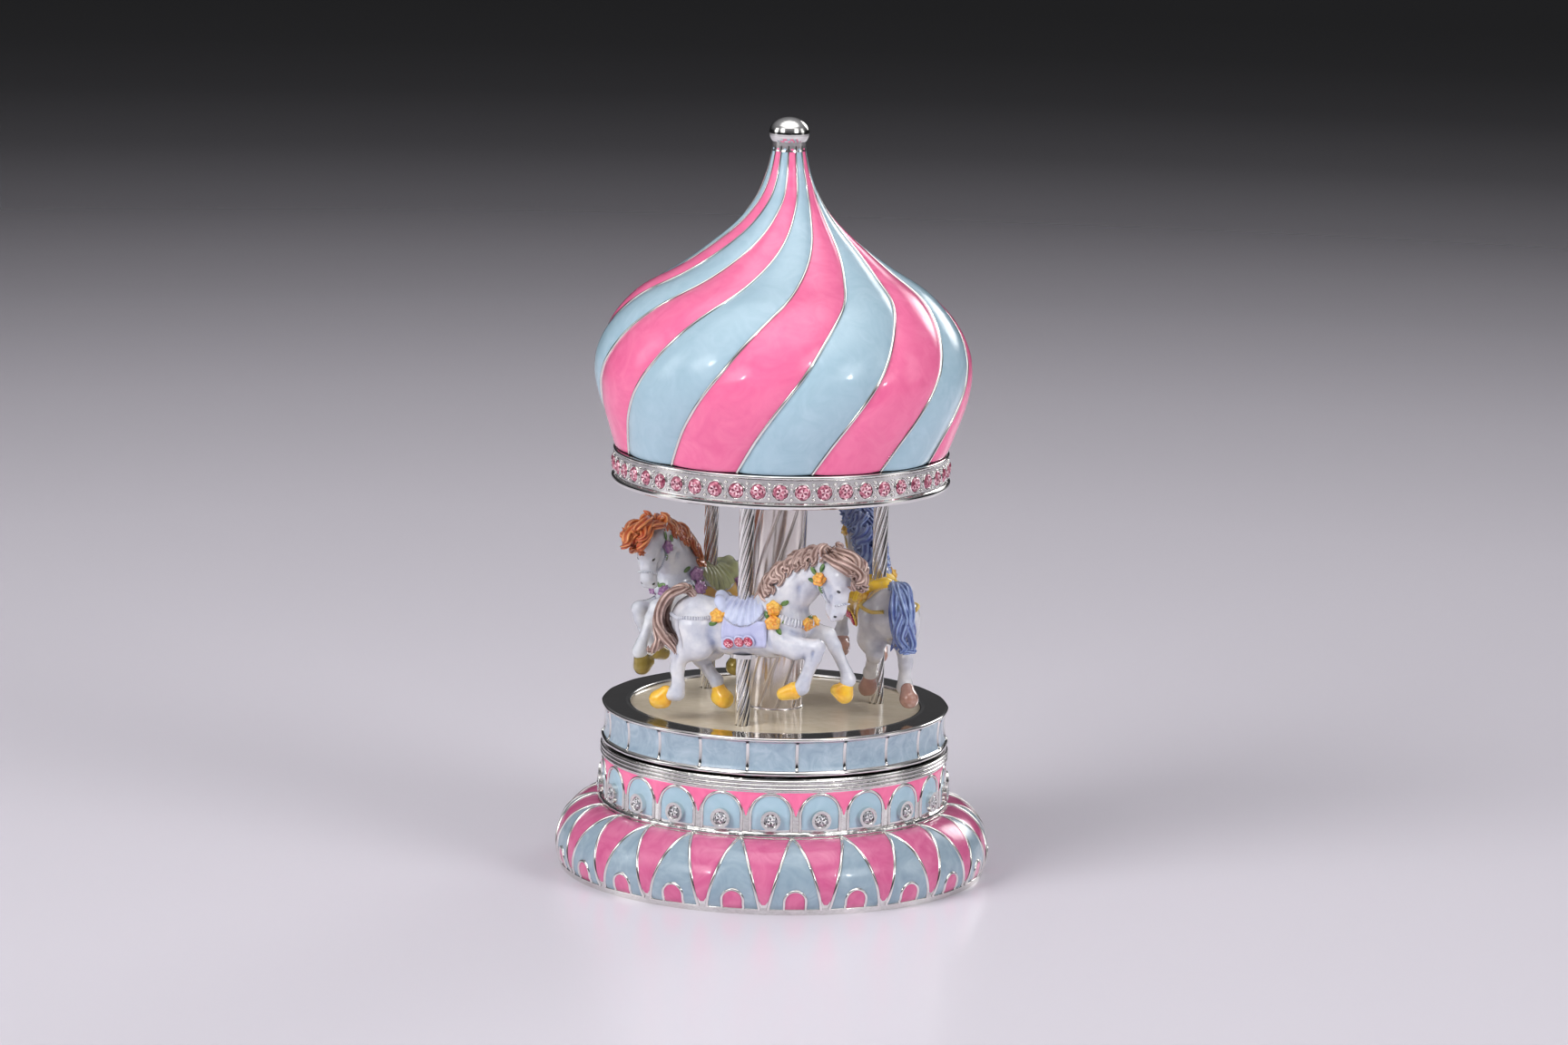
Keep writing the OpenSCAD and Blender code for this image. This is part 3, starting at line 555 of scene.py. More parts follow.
def stone_facets(r):
    """A round stone's points and triangles, with a painted share of light for each facet."""
    levels = [(16, 1.0, 0.0, 0.0), (8, 0.80, 0.24, 0.5), (8, 0.52, 0.36, 0.0)]
    rings = []
    for count, size, height, turn in levels:
        a = (np.arange(count) + turn) * 2 * pi / count
        rings.append(np.stack([r * size * np.cos(a), r * size * np.sin(a), np.full(count, r * height)], -1))
    girdle, upper, table = rings
    centre = np.array([0, 0, r * 0.22])
    base = np.array([0, 0, -r * 0.7])
    facets = []
    for i in range(8):
        j = (i + 1) % 8
        facets.append((centre, table[i], (table[i] + table[j]) / 2, 0.15 + 0.75 * (i % 2)))
        facets.append((centre, (table[i] + table[j]) / 2, table[j], 0.9 - 0.65 * (i % 2)))
        facets.append((table[i], upper[i], table[j], 0.7))
        facets.append((upper[i], upper[j], table[j], 0.25))
        for a, b in ((2 * i, 2 * i + 1), (2 * i + 1, 2 * i + 2)):
            facets.append((girdle[a % 16], girdle[b % 16], upper[i], 0.45 if a % 2 else 0.1))
        facets.append((girdle[(2 * i + 2) % 16], upper[j], upper[i], 0.55))
    for i in range(16):
        facets.append((base, girdle[(i + 1) % 16], girdle[i], 0.3))
    return facets


def set_stones(sculpt, places, r, seed):
    """Stones at (point, outward direction) places, each with its own roll and painted sparkle."""
    draw = np.random.default_rng(seed)
    facets = stone_facets(r)
    for point, out in places:
        turn = facing(out)
        roll = np.array(Matrix.Rotation(draw.uniform(0, 2 * pi), 3, "Z"))
        for a, b, c, light in facets:
            corner = np.array([a, b, c]) @ (turn @ roll).T + point
            sculpt.add(corner, [(0, 1, 2)], value=np.clip(light + draw.uniform(-0.3, 0.3), 0, 1))


def ring_of_places(count, phase, r, z):
    angles = [phase + 360 * i / count for i in range(count)]
    return [(around(r, a, z), around(1.0, a, 0.0)) for a in angles]


def build_stones():
    clear, pink = Sculpt(), Sculpt()
    set_stones(clear, ring_of_places(ARCHES, BAND_PHASE, WAIST_R + 0.55, STONE_Z), BASE_STONE_R, 3)
    clear.build("base_crystals", [CLEAR_STONE], "base", "clear_stone", ["base_stones"], smooth=False)
    set_stones(pink, ring_of_places(BAND_STONES, 0, BAND_R - 0.5, BAND_STONE_Z), BAND_STONE_R, 5)
    pink.build("band_crystals", [PINK_STONE], "carousel", "pink_stone", ["band_stones"], smooth=False)


# ---- Platform ----

def many_sided(angle):
    """Radius scale of the platform's flat panels: full at the bars, a little less between them."""
    off = (angle - BAR_PHASE) % ARCH_STEP - ARCH_STEP / 2
    flat = np.cos(np.radians(ARCH_STEP / 2)) / np.cos(np.radians(off))
    return 1 - 0.4 * (1 - flat)


def build_platform():
    body, fill, bars = Sculpt(), Sculpt(), Sculpt()
    low, high = PLATFORM_LOW, PLATFORM_HIGH
    r, deck = PLATFORM_R, DECK_EDGE_R
    waist = r - 0.85
    side = smooth_curve([(r - 0.1, low + 0.75), (waist + 0.1, low + 1.5), (waist - 0.1, low + 3.8),
                         (waist + 0.15, high - 1.25), (r - 0.25, high - 0.75)], 26)
    lip = [(r - 0.02, high - 0.6), (r, high - 0.35), (r - 0.08, high - 0.12), (r - 0.3, high - 0.02),
           (r - 0.55, high)]
    inner = [(deck + 1.0, high - 0.03), (deck + 0.6, high - 0.02), (deck + 0.45, high),
             (deck + 0.2, high - 0.05),
             (deck + 0.05, high - 0.2), (deck, high - 0.45), (deck, DECK_TOP - 0.1)]
    flange = [(r - 2.6, low), (r - 0.2, low), (r + 0.02, low + 0.12), (r + 0.06, low + 0.35), (r, low + 0.6)]
    revolve(body, np.vstack([flange, side, lip]), 352, 0, many_sided)
    revolve(body, [(r - 0.55, high), (deck + 1.0, high - 0.03)], 352, 1)
    revolve(body, inner, 352, 0)
    body.build("platform_frame", [SILVER, MIRROR], "carousel", "silver_plate", ["platform_ring"])
    wall = Wall(side)
    s = np.linspace(0.3, wall.length - 0.4, 22)
    for i in range(ARCHES):
        a = BAR_PHASE + ARCH_STEP * i
        k = (1 - np.cos(np.linspace(0, pi, 25)))[None, :] / 2
        angle = a + 0.1 + (ARCH_STEP - 0.2) * k
        ends = crown((s - s[0]) / np.ptp(s), 16)[:, None]
        lift = -0.06 + 0.16 * crown(k, 24) * ends
        points = wall.at(angle + 0 * s[:, None], s[:, None] + 0 * angle, lift)
        points[..., :2] *= many_sided(angle)[..., None]
        # The value darkens each panel by its bars and ends with painted shade.
        fill.grid(points, value=(1 - crown(k, 12) * ends).ravel())
        span = np.linspace(0.2, wall.length - 0.1, 24)
        wall_wire(bars, wall, a, span, 0.37, 0.3, -0.02)
    fill.build("platform_panels", [PANEL_BLUE], "carousel", "enamel_blue")
    bars.build("platform_bars", [SILVER], "carousel", "silver_plate")


# ---- Column and poles ----

COLUMN_FLUTES = 9
COLUMN_TURN = 180
POLE_R = 1.5
POLE_STRANDS = 8
POLE_TURN = 600
STRAND_DEPTH = 0.42


def spiral_rod(sculpt, centre, z0, z1, turn, outline, rows):
    """A rod whose outline, radius by angle in degrees, turns with height."""
    a = np.linspace(0, 360, len(outline), endpoint=False)[None, :]
    z = np.linspace(z0, z1, rows)[:, None]
    twist = turn * (z - z0) / (z1 - z0)
    points = around(np.asarray(outline)[None, :], a + twist, z)
    sculpt.grid(points + np.array([centre[0], centre[1], 0]), ring=True)


def build_column():
    column = Sculpt()
    a = np.linspace(0, 2 * pi, 432, endpoint=False)
    wave = np.abs(np.sin(a * COLUMN_FLUTES / 2))
    groove = np.exp(-((1 - np.abs(np.cos(a * COLUMN_FLUTES / 2))) / 0.012))
    outline = COLUMN_R - 0.07 * (1 - wave) - 0.28 * groove
    spiral_rod(column, (0, 0), DECK_TOP, CEILING_LOW, COLUMN_TURN, outline, 170)
    lip = COLUMN_R + 0.25
    revolve(column, [(lip, DECK_TOP), (lip, DECK_TOP + 0.2), (COLUMN_R - 0.2, DECK_TOP + 0.45)], 96)
    column.build("fluted_column", [SATIN], "carousel", "silver_plate", ["centre_column"])


def pole_centre(i):
    return around(POLE_CIRCLE, FIRST_POLE + 360 * i / len(SIDES), 0.0)


def build_poles():
    a = np.linspace(0, 2 * pi, POLE_STRANDS * 18, endpoint=False)
    rope = POLE_R - STRAND_DEPTH * (1 - np.abs(np.sin(a * POLE_STRANDS / 2))) ** 1.7
    for i, side in enumerate(SIDES):
        pole = Sculpt()
        spiral_rod(pole, pole_centre(i), DECK_TOP - 2.5, CEILING_LOW + 0.5, POLE_TURN, rope, 300)
        pole.build("rope_pole_" + side, [SILVER], "carousel", "silver_plate", ["pole_" + side])


# ---- Canopy ----

TWIST = [(0, 0), (0.14, 8.5), (0.31, 19.5), (0.47, 31), (0.6, 47), (0.78, 73), (0.88, 87), (1, 91)]
DOME_PHASE = -15
DOME_WALL = 1.9
DOME_KNOTS = [
    (0.887, 0), (0.930, 0.078), (0.970, 0.151), (0.995, 0.222), (1, 0.275),
    (0.989, 0.330), (0.945, 0.400), (0.866, 0.470), (0.745, 0.540), (0.555, 0.612),
    (0.390, 0.690), (0.258, 0.766), (0.172, 0.841), (0.120, 0.920), (0.093, 0.99), (0.088, 1.02),
]


def build_dome():
    height = DOME_HIGH - DOME_LOW
    outline = smooth_curve(DOME_KNOTS, 200) * (DOME_R, height) + (0, DOME_LOW)
    wall = Wall(outline)
    s = np.linspace(0, wall.length, 170)
    z = wall.look(s, wall.profile)[:, 1]
    r = wall.look(s, wall.profile)[:, 0]
    twist_knots = smooth_curve(TWIST, 120)
    twist = np.interp((z - DOME_LOW) / height, twist_knots[:, 0], twist_knots[:, 1])
    slant = np.hypot(1, np.radians(np.gradient(twist, s)) * r)
    puff = 0.055 * (2 * pi * r / STRIPES) / slant
    foot = np.clip(s / 1.2, 0, 1) ** 0.5
    stripes, lines, lining = Sculpt(), Sculpt(), Sculpt()
    step = 360 / STRIPES
    k = np.linspace(0, 1, 25)[None, :]
    rise = crown(k, 2.4)
    for i in range(STRIPES):
        a = DOME_PHASE + step * i
        lift = -(puff[:, None] + 0.1) * (1 - rise) - 0.3 * (1 - foot[:, None]) * rise
        angle = a + step * k + twist[:, None]
        # edge darkens each stripe by its wires with painted shade.
        edge = 1 - crown(k, 8) * foot[:, None]
        stripes.grid(wall.at(angle, s[:, None] + 0 * angle, lift), (i + 1) % 2, value=edge.ravel())
        size = 0.16 + 0.2 * np.clip(r / DOME_R, 0, 1)
        wall_wire(lines, wall, a + twist, s, size, size, -puff - 0.02)
    foot_r = DOME_R * DOME_KNOTS[0][0]
    revolve(lining, [(foot_r - 0.2, DOME_LOW), (foot_r - DOME_WALL, DOME_LOW)], 180)
    inside = [(p[0] - DOME_WALL, p[1]) for p in outline if p[0] > 5]
    revolve(lining, inside[::4], 180)
    stripes.build("dome_enamel", [PINK, BLUE], "carousel", "enamel_pink", ["dome_shell"])
    lines.build("dome_wires", [SILVER], "carousel", "silver_plate")
    lining.build("dome_lining", [CAST], "carousel", "silver_plate")


def bead(sculpt, centre, out, r):
    sculpt.grid(cap(5, 10, 0.05) * r @ facing(out).T + centre, ring=True)


def build_band_setting():
    """Bezels round the band's stones, and beads between them."""
    setting = Sculpt()
    r = BAND_R - 0.6
    for i in range(BAND_STONES):
        a = 360 * i / BAND_STONES
        out = around(1.0, a, 0.0)
        torus(setting, around(r + 0.02, a, BAND_STONE_Z), out, 1.62, 0.2, 24, 8)
        b = a + 180 / BAND_STONES
        for dz in (-1.45, -0.62, 0.62, 1.45):
            bead(setting, around(r, b, BAND_STONE_Z + dz), around(1.0, b, 0.0), 0.42 if abs(dz) > 1 else 0.3)
    setting.build("band_setting", [SILVER], "carousel", "silver_plate")


# ---- Horses: modelled forwards along +X, with the pole on the Z axis and outwards at -Y ----

class Field:
    """Signed distances on a grid: negative inside. Rounded cones are blended into it."""

    def __init__(self, low, high, pitch):
        self.low, self.pitch = np.asarray(low, float), pitch
        self.axes = [np.arange(a, b, pitch) for a, b in zip(low, high)]
        self.f = np.full([len(a) for a in self.axes], 6.0)

    def window(self, low, high):
        """The part of the grid inside a box, and its coordinates."""
        cut = []
        for axis, a, b in zip(self.axes, low, high):
            i, j = np.searchsorted(axis, (a, b))
            cut.append(slice(max(i - 1, 0), j + 1))
        axes = [axis[c] for axis, c in zip(self.axes, cut)]
        return tuple(cut), np.meshgrid(*axes, indexing="ij", sparse=True)

    def cone(self, a, ra, b, rb, blend=0.8, flat=1.0, carve=False):
        """A round cone from a to b, smoothly added or carved away. flat squeezes it sideways."""
        a, b = np.asarray(a, float), np.asarray(b, float)
        reach = max(ra, rb) + blend + 2.5
        cut, (x, y, z) = self.window(np.minimum(a, b) - reach, np.maximum(a, b) + reach)
        line = b - a
        y0 = a[1] + line[1] / 2
        x, y, z = x - a[0], y0 + (y - y0) / flat - a[1], z - a[2]
        h = np.clip((x * line[0] + y * line[1] + z * line[2]) / max(line @ line, 1e-9), 0, 1)
        away = (x - h * line[0]) ** 2 + (y - h * line[1]) ** 2 + (z - h * line[2]) ** 2
        d = np.sqrt(away) - (ra + (rb - ra) * h)
        sign = -1 if carve else 1
        f = self.f[cut] * sign
        k = np.clip(0.5 + 0.5 * (f - d) / blend, 0, 1)
        self.f[cut] = sign * (f * (1 - k) + d * k - blend * k * (1 - k))

    def chain(self, points, blend=0.8, flat=1.0):
        """Round cones through (x, y, z, radius) points."""
        for a, b in zip(points[:-1], points[1:]):
            self.cone(a[:3], a[3], b[:3], b[3], blend, flat)

    def sample(self, points, values=None):
        values = self.f if values is None else values
        p = (np.asarray(points, float) - self.low) / self.pitch
        p = np.clip(p, 0, np.array(values.shape) - 1.001)
        i = p.astype(int)
        t = p - i
        total = 0
        for step in np.ndindex(2, 2, 2):
            w = np.abs(1 - np.array(step) - t).prod(-1)
            total = total + w * values[tuple(np.moveaxis(i + step, -1, 0))]
        return total

    def slope(self, points):
        """The way out of the surface."""
        points = np.asarray(points, float)
        steps = np.eye(3) * 0.3
        return unit(np.stack([self.sample(points + s) - self.sample(points - s) for s in steps], -1))

    def settle(self, points, lift=0.0):
        """Points moved onto the surface, or lift above it, with the surface's directions there."""
        points = np.asarray(points, float)
        for _ in range(12):
            n = self.slope(points)
            points = points - 0.7 * n * (self.sample(points) - lift)[..., None]
        return points, self.slope(points)

    def hollows(self, reach):
        """How sunken each place is: 0.5 on a flat surface, more in a crease."""
        v = np.clip(0.5 - self.f / (2 * self.pitch), 0, 1)
        n = int(reach / self.pitch)
        for axis in range(3):
            edges = [(n + 1, n) if i == axis else (0, 0) for i in range(3)]
            total = np.cumsum(np.pad(v, edges, mode="edge"), axis)
            upper = np.take(total, range(2 * n + 1, total.shape[axis]), axis)
            lower = np.take(total, range(0, total.shape[axis] - 2 * n - 1), axis)
            v = (upper - lower) / (2 * n + 1)
        return v

    def skin(self):
        """The zero surface, as points and quads: one point for each cell the surface passes through."""
        f = self.f
        cells = np.array(f.shape) - 1
        size = int(np.prod(cells))
        total, count, quads = np.zeros((size, 3)), np.zeros(size), []
        for axis in range(3):
            a = np.take(f, range(f.shape[axis] - 1), axis)
            b = np.take(f, range(1, f.shape[axis]), axis)
            at = np.argwhere((a < 0) != (b < 0))
            others = [i for i in range(3) if i != axis]
            at = at[(at[:, others] > 0).all(1) & (at[:, others] < cells[others]).all(1)]
            va, vb = a[tuple(at.T)], b[tuple(at.T)]
            point = at.astype(float)
            point[:, axis] += va / (va - vb)
            ring = []
            for o in ((0, 0), (-1, 0), (-1, -1), (0, -1)):
                cell_at = at.copy()
                cell_at[:, others[0]] += o[0]
                cell_at[:, others[1]] += o[1]
                index = np.ravel_multi_index(cell_at.T, cells)
                ring.append(index)
                count += np.bincount(index, minlength=size)
                for i in range(3):
                    total[:, i] += np.bincount(index, point[:, i], size)
            ring = np.stack(ring, -1)
            backward = (va > 0) != (axis == 1)
            ring[backward] = ring[backward, ::-1]
            quads.append(ring)
        used = np.flatnonzero(count)
        number = np.zeros(size, int)
        number[used] = np.arange(len(used))
        points = total[used] / count[used, None] * self.pitch + self.low
        return points, number[np.concatenate(quads)]


def both(point):
    """A point and its mirror on the other side of the horse."""
    x, y, z = point
    return [np.array([x, y, z]), np.array([x, -y, z])]


class Horse:
    """One horse, its head turned outwards by yaw degrees."""

    def __init__(self, index, side, yaw, paints):
        self.name, self.yaw, self.paints = "horse_" + side, yaw, paints
        self.part_side, self.part_rise = FORELOCK_SIDE[side], FORELOCK_RISE[side]
        self.tail_width = TAIL_WIDTH[side]
        self.angle = radians(FIRST_POLE + 360 * index / len(SIDES))
        self.centre = pole_centre(index)
        self.draw = np.random.default_rng(20 + index)

    def turned(self, points):
        """Points carried round with the head, more the nearer they are to it."""
        points = np.array(points, float)
        x, z = points[..., 0], points[..., 2]
        w = np.clip((x - 8.0) / 6.5, 0, 1) * np.clip((z - 56.0) / 5.0, 0, 1)
        w = np.where(x > 17.5, np.clip((z - 53.0) / 1.5, 0, 1), w)
        w = w * w * (3 - 2 * w)
        a = -radians(self.yaw) * w
        px, py = x - NECK_X, points[..., 1].copy()
        points[..., 0] = NECK_X + px * np.cos(a) - py * np.sin(a)
        points[..., 1] = px * np.sin(a) + py * np.cos(a)
        return points

    def out(self, sculpt, points, faces, value):
        c, s = cos(self.angle), sin(self.angle)
        points = np.asarray(points, float).reshape(-1, 3)
        x, y = points[:, 0], points[:, 1]
        world = np.stack([c * x - s * y, s * x + c * y, points[:, 2]], -1) + self.centre
        sculpt.add(world, faces, value=value)

    def piece(self, sculpt, part, material, slot="enamel_white", replaces=(), smooth=True):
        sculpt.build(self.name + "_" + part, [material], "carousel", slot, replaces, smooth)

    def sheet(self, sculpt, rows, ring=False, flip=False, value=0.0):
        local = Sculpt()
        local.grid(rows, 0, ring, flip, value)
        self.out(sculpt, local.points[0], local.faces, local.values[0])

    # The white body

    def trunk(self):
        field = Field(*REACH, PITCH)
        barrel = [(-9.8, 0, 52.6, 5.2), (-2.5, 0, 51.6, 4.9), (5.5, 0, 52.4, 5.6), (9.0, 0, 53.7, 4.6)]
        field.chain(barrel, 1.6, 0.88)
        return field

    def neck_and_head(self, field):
        def parts(rows, carve=False):
            for a, ra, b, rb, blend, flat in rows:
                field.cone(self.turned(a), ra, self.turned(b), rb, blend, flat, carve)

        parts((
            ((6.3, 0, 56.2), 4.5, (11.2, 0, 61.4), 3.9, 1.6, 0.86),
            ((11.2, 0, 61.4), 3.9, (16.8, 0, 65.4), 3.1, 1.2, 1),
            ((18.0, 0, 66.0), 2.7, (22.3, 0, 64.7), 2.35, 0.7, 1),
            ((20.2, 0, 62.3), 2.5, (21.0, 0, 61.2), 2.25, 0.7, 1),
            ((22.4, 0, 64.2), 2.2, (22.0, 0, 58.6), 1.5, 0.7, 1),
            ((21.9, 0, 58.2), 1.55, (21.1, 0, 57.2), 1.5, 0.7, 1),
            ((20.2, 0, 60.4), 1.5, (19.9, 0, 57.6), 0.95, 0.7, 1),
        ))
        for s in (-1, 1):
            parts((
                ((21.9, s * 0.9, 57.4), 0.85, (21.5, s * 1.0, 56.6), 0.75, 0.4, 1),
                ((19.4, s * 1.6, 62.9), 1.45, (20.3, s * 1.3, 60.8), 1.0, 0.5, 1),
                ((23.0, s * 1.25, 62.9), 0.75, (23.5, s * 1.3, 62.4), 0.6, 0.45, 1),
                ((23.2, s * 0.75, 61.0), 0.45, (22.7, s * 0.9, 58.8), 0.4, 0.4, 1),
                ((18.9, s * 1.3, 67.3), 0.85, (19.2, s * 1.8, 68.9), 0.8, 0.5, 1),
                ((19.2, s * 1.8, 68.9), 0.8, (19.6, s * 1.9, 70.7), 0.2, 0.4, 1),
            ))
            parts((
                ((19.9, s * 1.9, 68.3), 0.35, (20.0, s * 2.1, 69.9), 0.15, 0.25, 1),
                ((23.6, s * 1.95, 61.8), 0.5, (22.9, s * 2.1, 61.5), 0.4, 0.25, 1),
                ((22.6, s * 1.35, 56.6), 0.32, (22.3, s * 1.6, 57.0), 0.25, 0.2, 1),
                ((22.0, s * 1.5, 56.0), 0.14, (20.1, s * 1.6, 57.0), 0.14, 0.2, 1),
                ((21.9, s * 2.0, 61.0), 0.3, (21.2, s * 1.9, 58.6), 0.25, 0.5, 1),
                ((17.2, s * 3.1, 63.6), 0.35, (19.5, s * 2.7, 59.6), 0.25, 0.5, 1),
                ((8.4, s * 4.4, 57.4), 0.6, (15.6, s * 3.3, 62.6), 0.35, 1.0, 1),
                ((7.0, s * 4.4, 60.2), 0.4, (12.6, s * 3.7, 64.0), 0.3, 0.9, 1),
                ((12.4, s * 3.4, 57.6), 0.35, (14.2, s * 3.2, 61.8), 0.3, 0.8, 1),
            ), carve=True)

    def legs(self, field):
        """Thighs, then shins: each shin keeps its own y, so its points are (x, z, radius)."""
        thighs = (
            [(7.2, -2.5, 51.0, 3.2), (11.5, -3.0, 49.4, 2.3), (15.9, -3.0, 49.9, 1.55)],
            [(8.0, 2.4, 53.2, 3.2), (13.0, 2.7, 51.9, 1.9), (16.3, 2.8, 51.3, 1.5)],
            [(-9.2, -2.2, 51.6, 4.2), (-8.6, -2.9, 48.6, 3.4), (-12.2, -2.9, 45.8, 1.8)],
            [(-8.8, 2.2, 51.6, 4.0), (-7.8, 2.8, 47.2, 3.0), (-9.9, 2.8, 44.6, 1.7)],
        )
        shins = (
            (-3.0, [(15.9, 49.9, 1.5), (15.3, 47.9, 1.45), (13.6, 43.3, 1.15), (13.0, 41.7, 1.4),
                    (12.0, 40.9, 1.2)]),
            (2.8, [(16.3, 51.3, 1.45), (17.6, 49.3, 1.25), (20.2, 44.2, 1.05), (20.6, 42.8, 1.4),
                   (20.2, 41.9, 1.2)]),
            (-2.9, [(-12.2, 45.8, 1.75), (-12.7, 43.2, 1.35), (-12.4, 40.0, 1.2), (-12.7, 38.3, 1.55),
                    (-14.1, 37.9, 1.25)]),
            (2.8, [(-9.9, 44.6, 1.6), (-8.0, 42.0, 1.15), (-6.5, 40.2, 1.3), (-6.1, 39.0, 1.15)]),
        )
        for thigh, (y, shin) in zip(thighs, shins):
            field.chain(thigh, 0.7)
            field.chain([(x, y, z, r) for x, z, r in shin], 0.7)
        for s in (-1, 1):
            field.cone((4.6, s * 5.2, 56.5), 0.5, (7.4, s * 5.4, 48.6), 0.35, 1.1, carve=True)
            field.cone((-5.6, s * 5.5, 55.0), 0.4, (-4.4, s * 5.6, 48.4), 0.35, 1.1, carve=True)
            field.cone((-12.6, s * 4.9, 52.5), 0.35, (-11.4, s * 5.4, 48.2), 0.3, 1.0, carve=True)
            field.cone((9.6, s * 5.1, 51.6), 0.35, (13.4, s * 4.8, 51.2), 0.3, 0.7, carve=True)
        dents = ((15.6, -4.5, 49.2), (14.2, -4.3, 45.6), (17.2, 4.2, 50.2), (18.8, 4.1, 47.2),
                 (-12.2, -4.7, 46.2), (-12.4, -4.3, 42.2), (-9.0, 4.4, 44.6))
        for x, y, z in dents:
            field.cone((x, y, z), 0.3, (x - 0.3, y, z - 1.8), 0.25, 0.5, carve=True)

    def hooves(self):
        field = Field(*REACH, PITCH)
        hooves = (
            ([(11.4, -3.0, 40.9, 1.8), (9.3, -3.0, 40.1, 1.35)], (5.0, -3.0, 43.6)),
            ([(20.1, 2.8, 41.3, 1.55), (19.9, 2.8, 39.7, 1.6), (18.3, 2.8, 40.5, 1.3)], (15.8, 2.8, 35.0)),
            ([(-14.9, -2.9, 38.3, 1.35), (-16.4, -2.9, 36.7, 1.75), (-15.3, -2.9, 36.5, 1.5)],
             (-16.6, -2.9, 30.8)),
            ([(-6.0, 2.8, 38.8, 1.35), (-4.8, 2.8, 36.7, 1.75), (-5.9, 2.8, 37.0, 1.6)], (-6.4, 2.8, 31.2)),
        )
        for hoof, sole in hooves:
            field.chain(hoof, 0.7)
            field.cone(sole, 3.9, sole, 3.9, 0.3, carve=True)
        return field

    # Saddle and cloth, laid over the trunk

    def laid(self, trunk, lift, region, depth=0.5):
        """A layer over the trunk where region is negative."""
        field = Field(*REACH, PITCH)
        x, y, z = np.meshgrid(*field.axes, indexing="ij", sparse=True)
        field.f = np.maximum(np.maximum(trunk.f - lift(x, y, z), -(trunk.f + depth)), region(x, y, z))
        return field

    def saddle(self, trunk):
        def pleats(x, y, z):
            fan = np.arctan2(x - 0.8, 65.0 - z)
            return 0.70 + 0.22 * np.cos(fan * 42)

        def flap(x, y, z):
            return (np.sqrt(((x - 0.8) / 4.9) ** 2 + ((z - 58.2) / 5.0) ** 2) - 1) * 4.8 + 0 * y

        field = self.laid(trunk, pleats, flap)
        cantle = [(-3.6, 3.6, 55.9, 0.8), (-4.5, 2.2, 57.2, 1.0), (-4.9, 0, 57.8, 1.1)]
        pommel = [(4.6, 3.6, 56.6, 0.6), (5.0, 1.9, 58.2, 0.7), (5.1, 0, 58.6, 0.75)]
        for half, blend in ((cantle, 0.6), (pommel, 0.5)):
            mirrored = [(x, -y, z, r) for x, y, z, r in half]
            field.chain(mirrored + half[-2::-1], blend)
        field.cone((-3.8, 0, 56.2), 1.6, (3.9, 0, 56.7), 1.3, 1.0)
        return field

    def cloth(self, trunk):
        def above(x, z):
            return z - 47.9 - 0.15 * (x + 3.1)

        def thick(x, y, z):
            hem = np.exp(-((above(x, z) - 0.6) / 0.55) ** 2)
            rim = hem + 0.7 * np.exp(-((np.abs(x - 1.5) - 4.3) / 0.3) ** 2)
            return 0.32 + 0.34 * rim + 0 * y

        def patch(x, y, z):
            side = np.abs(x - 1.5) - 4.75
            return np.maximum(side, np.maximum(-above(x, z), z - 54.5)) + 0 * y

        return self.laid(trunk, thick, patch)

    # Hair

    def lock(self, sculpt, knots, width, thick, up, count=24):
        """A tapering, grooved, wavy lock of hair along knots. up is the way its broad face looks."""
        path = smooth_curve(knots, count)
        t = np.linspace(0, 1, count)
        side = unit(np.cross(np.gradient(path, axis=0), up))
        wave = 0.6 * np.sin(t * 10 + self.draw.uniform(0, 6)) * np.clip(4 * t, 0, 1)
        path = self.turned(path + side * wave[:, None])
        along = unit(np.gradient(path, axis=0))
        root = np.asarray(knots[1])
        side = unit(np.cross(along, self.turned(root + up) - self.turned(root)))
        face = np.cross(side, along)
        size = np.clip(0.5 + 2.4 * t, 0, 1) * np.clip((1 - t) / 0.4, 0.03, 1) ** 0.65
        ridges = 5
        ring = np.linspace(0, 2 * pi, 8 * ridges, endpoint=False)[None, :]
        turn = 0.7 * np.sin(t * 4 + self.draw.uniform(0, 6))[:, None]
        groove = 0.5 + 0.5 * np.cos(ring * ridges + turn * ridges)
        reach = (1 - 0.42 * groove ** 2) * size[:, None]
        across = side[:, None] * (np.cos(ring) * reach * width)[..., None]
        upwards = face[:, None] * (np.sin(ring) * reach * thick)[..., None]
        # The value paints highlight on each ridge and shade in each groove.
        self.sheet(sculpt, path[:, None] + across + upwards, ring=True, value=((1 - groove) ** 1.3).ravel())

    def mane(self, sculpt):
        nape = [(4.8, 0, 58.9), (6.4, 0, 62.0), (9.2, 0, 64.8), (12.8, 0, 66.4), (16.2, 0, 67.4),
                (19.2, 0, 68.2)]
        crest = smooth_curve(nape, 12)
        for root, go in zip(crest, unit(np.gradient(crest, axis=0))):
            lift = np.array([-go[2], 0, go[0]])
            for s in (-1, 1):
                j = self.draw.uniform(-1, 1, 8)
                out = np.array([0, s, 0])

                def knot(a, b, c):
                    return root + go * a + lift * b + out * c

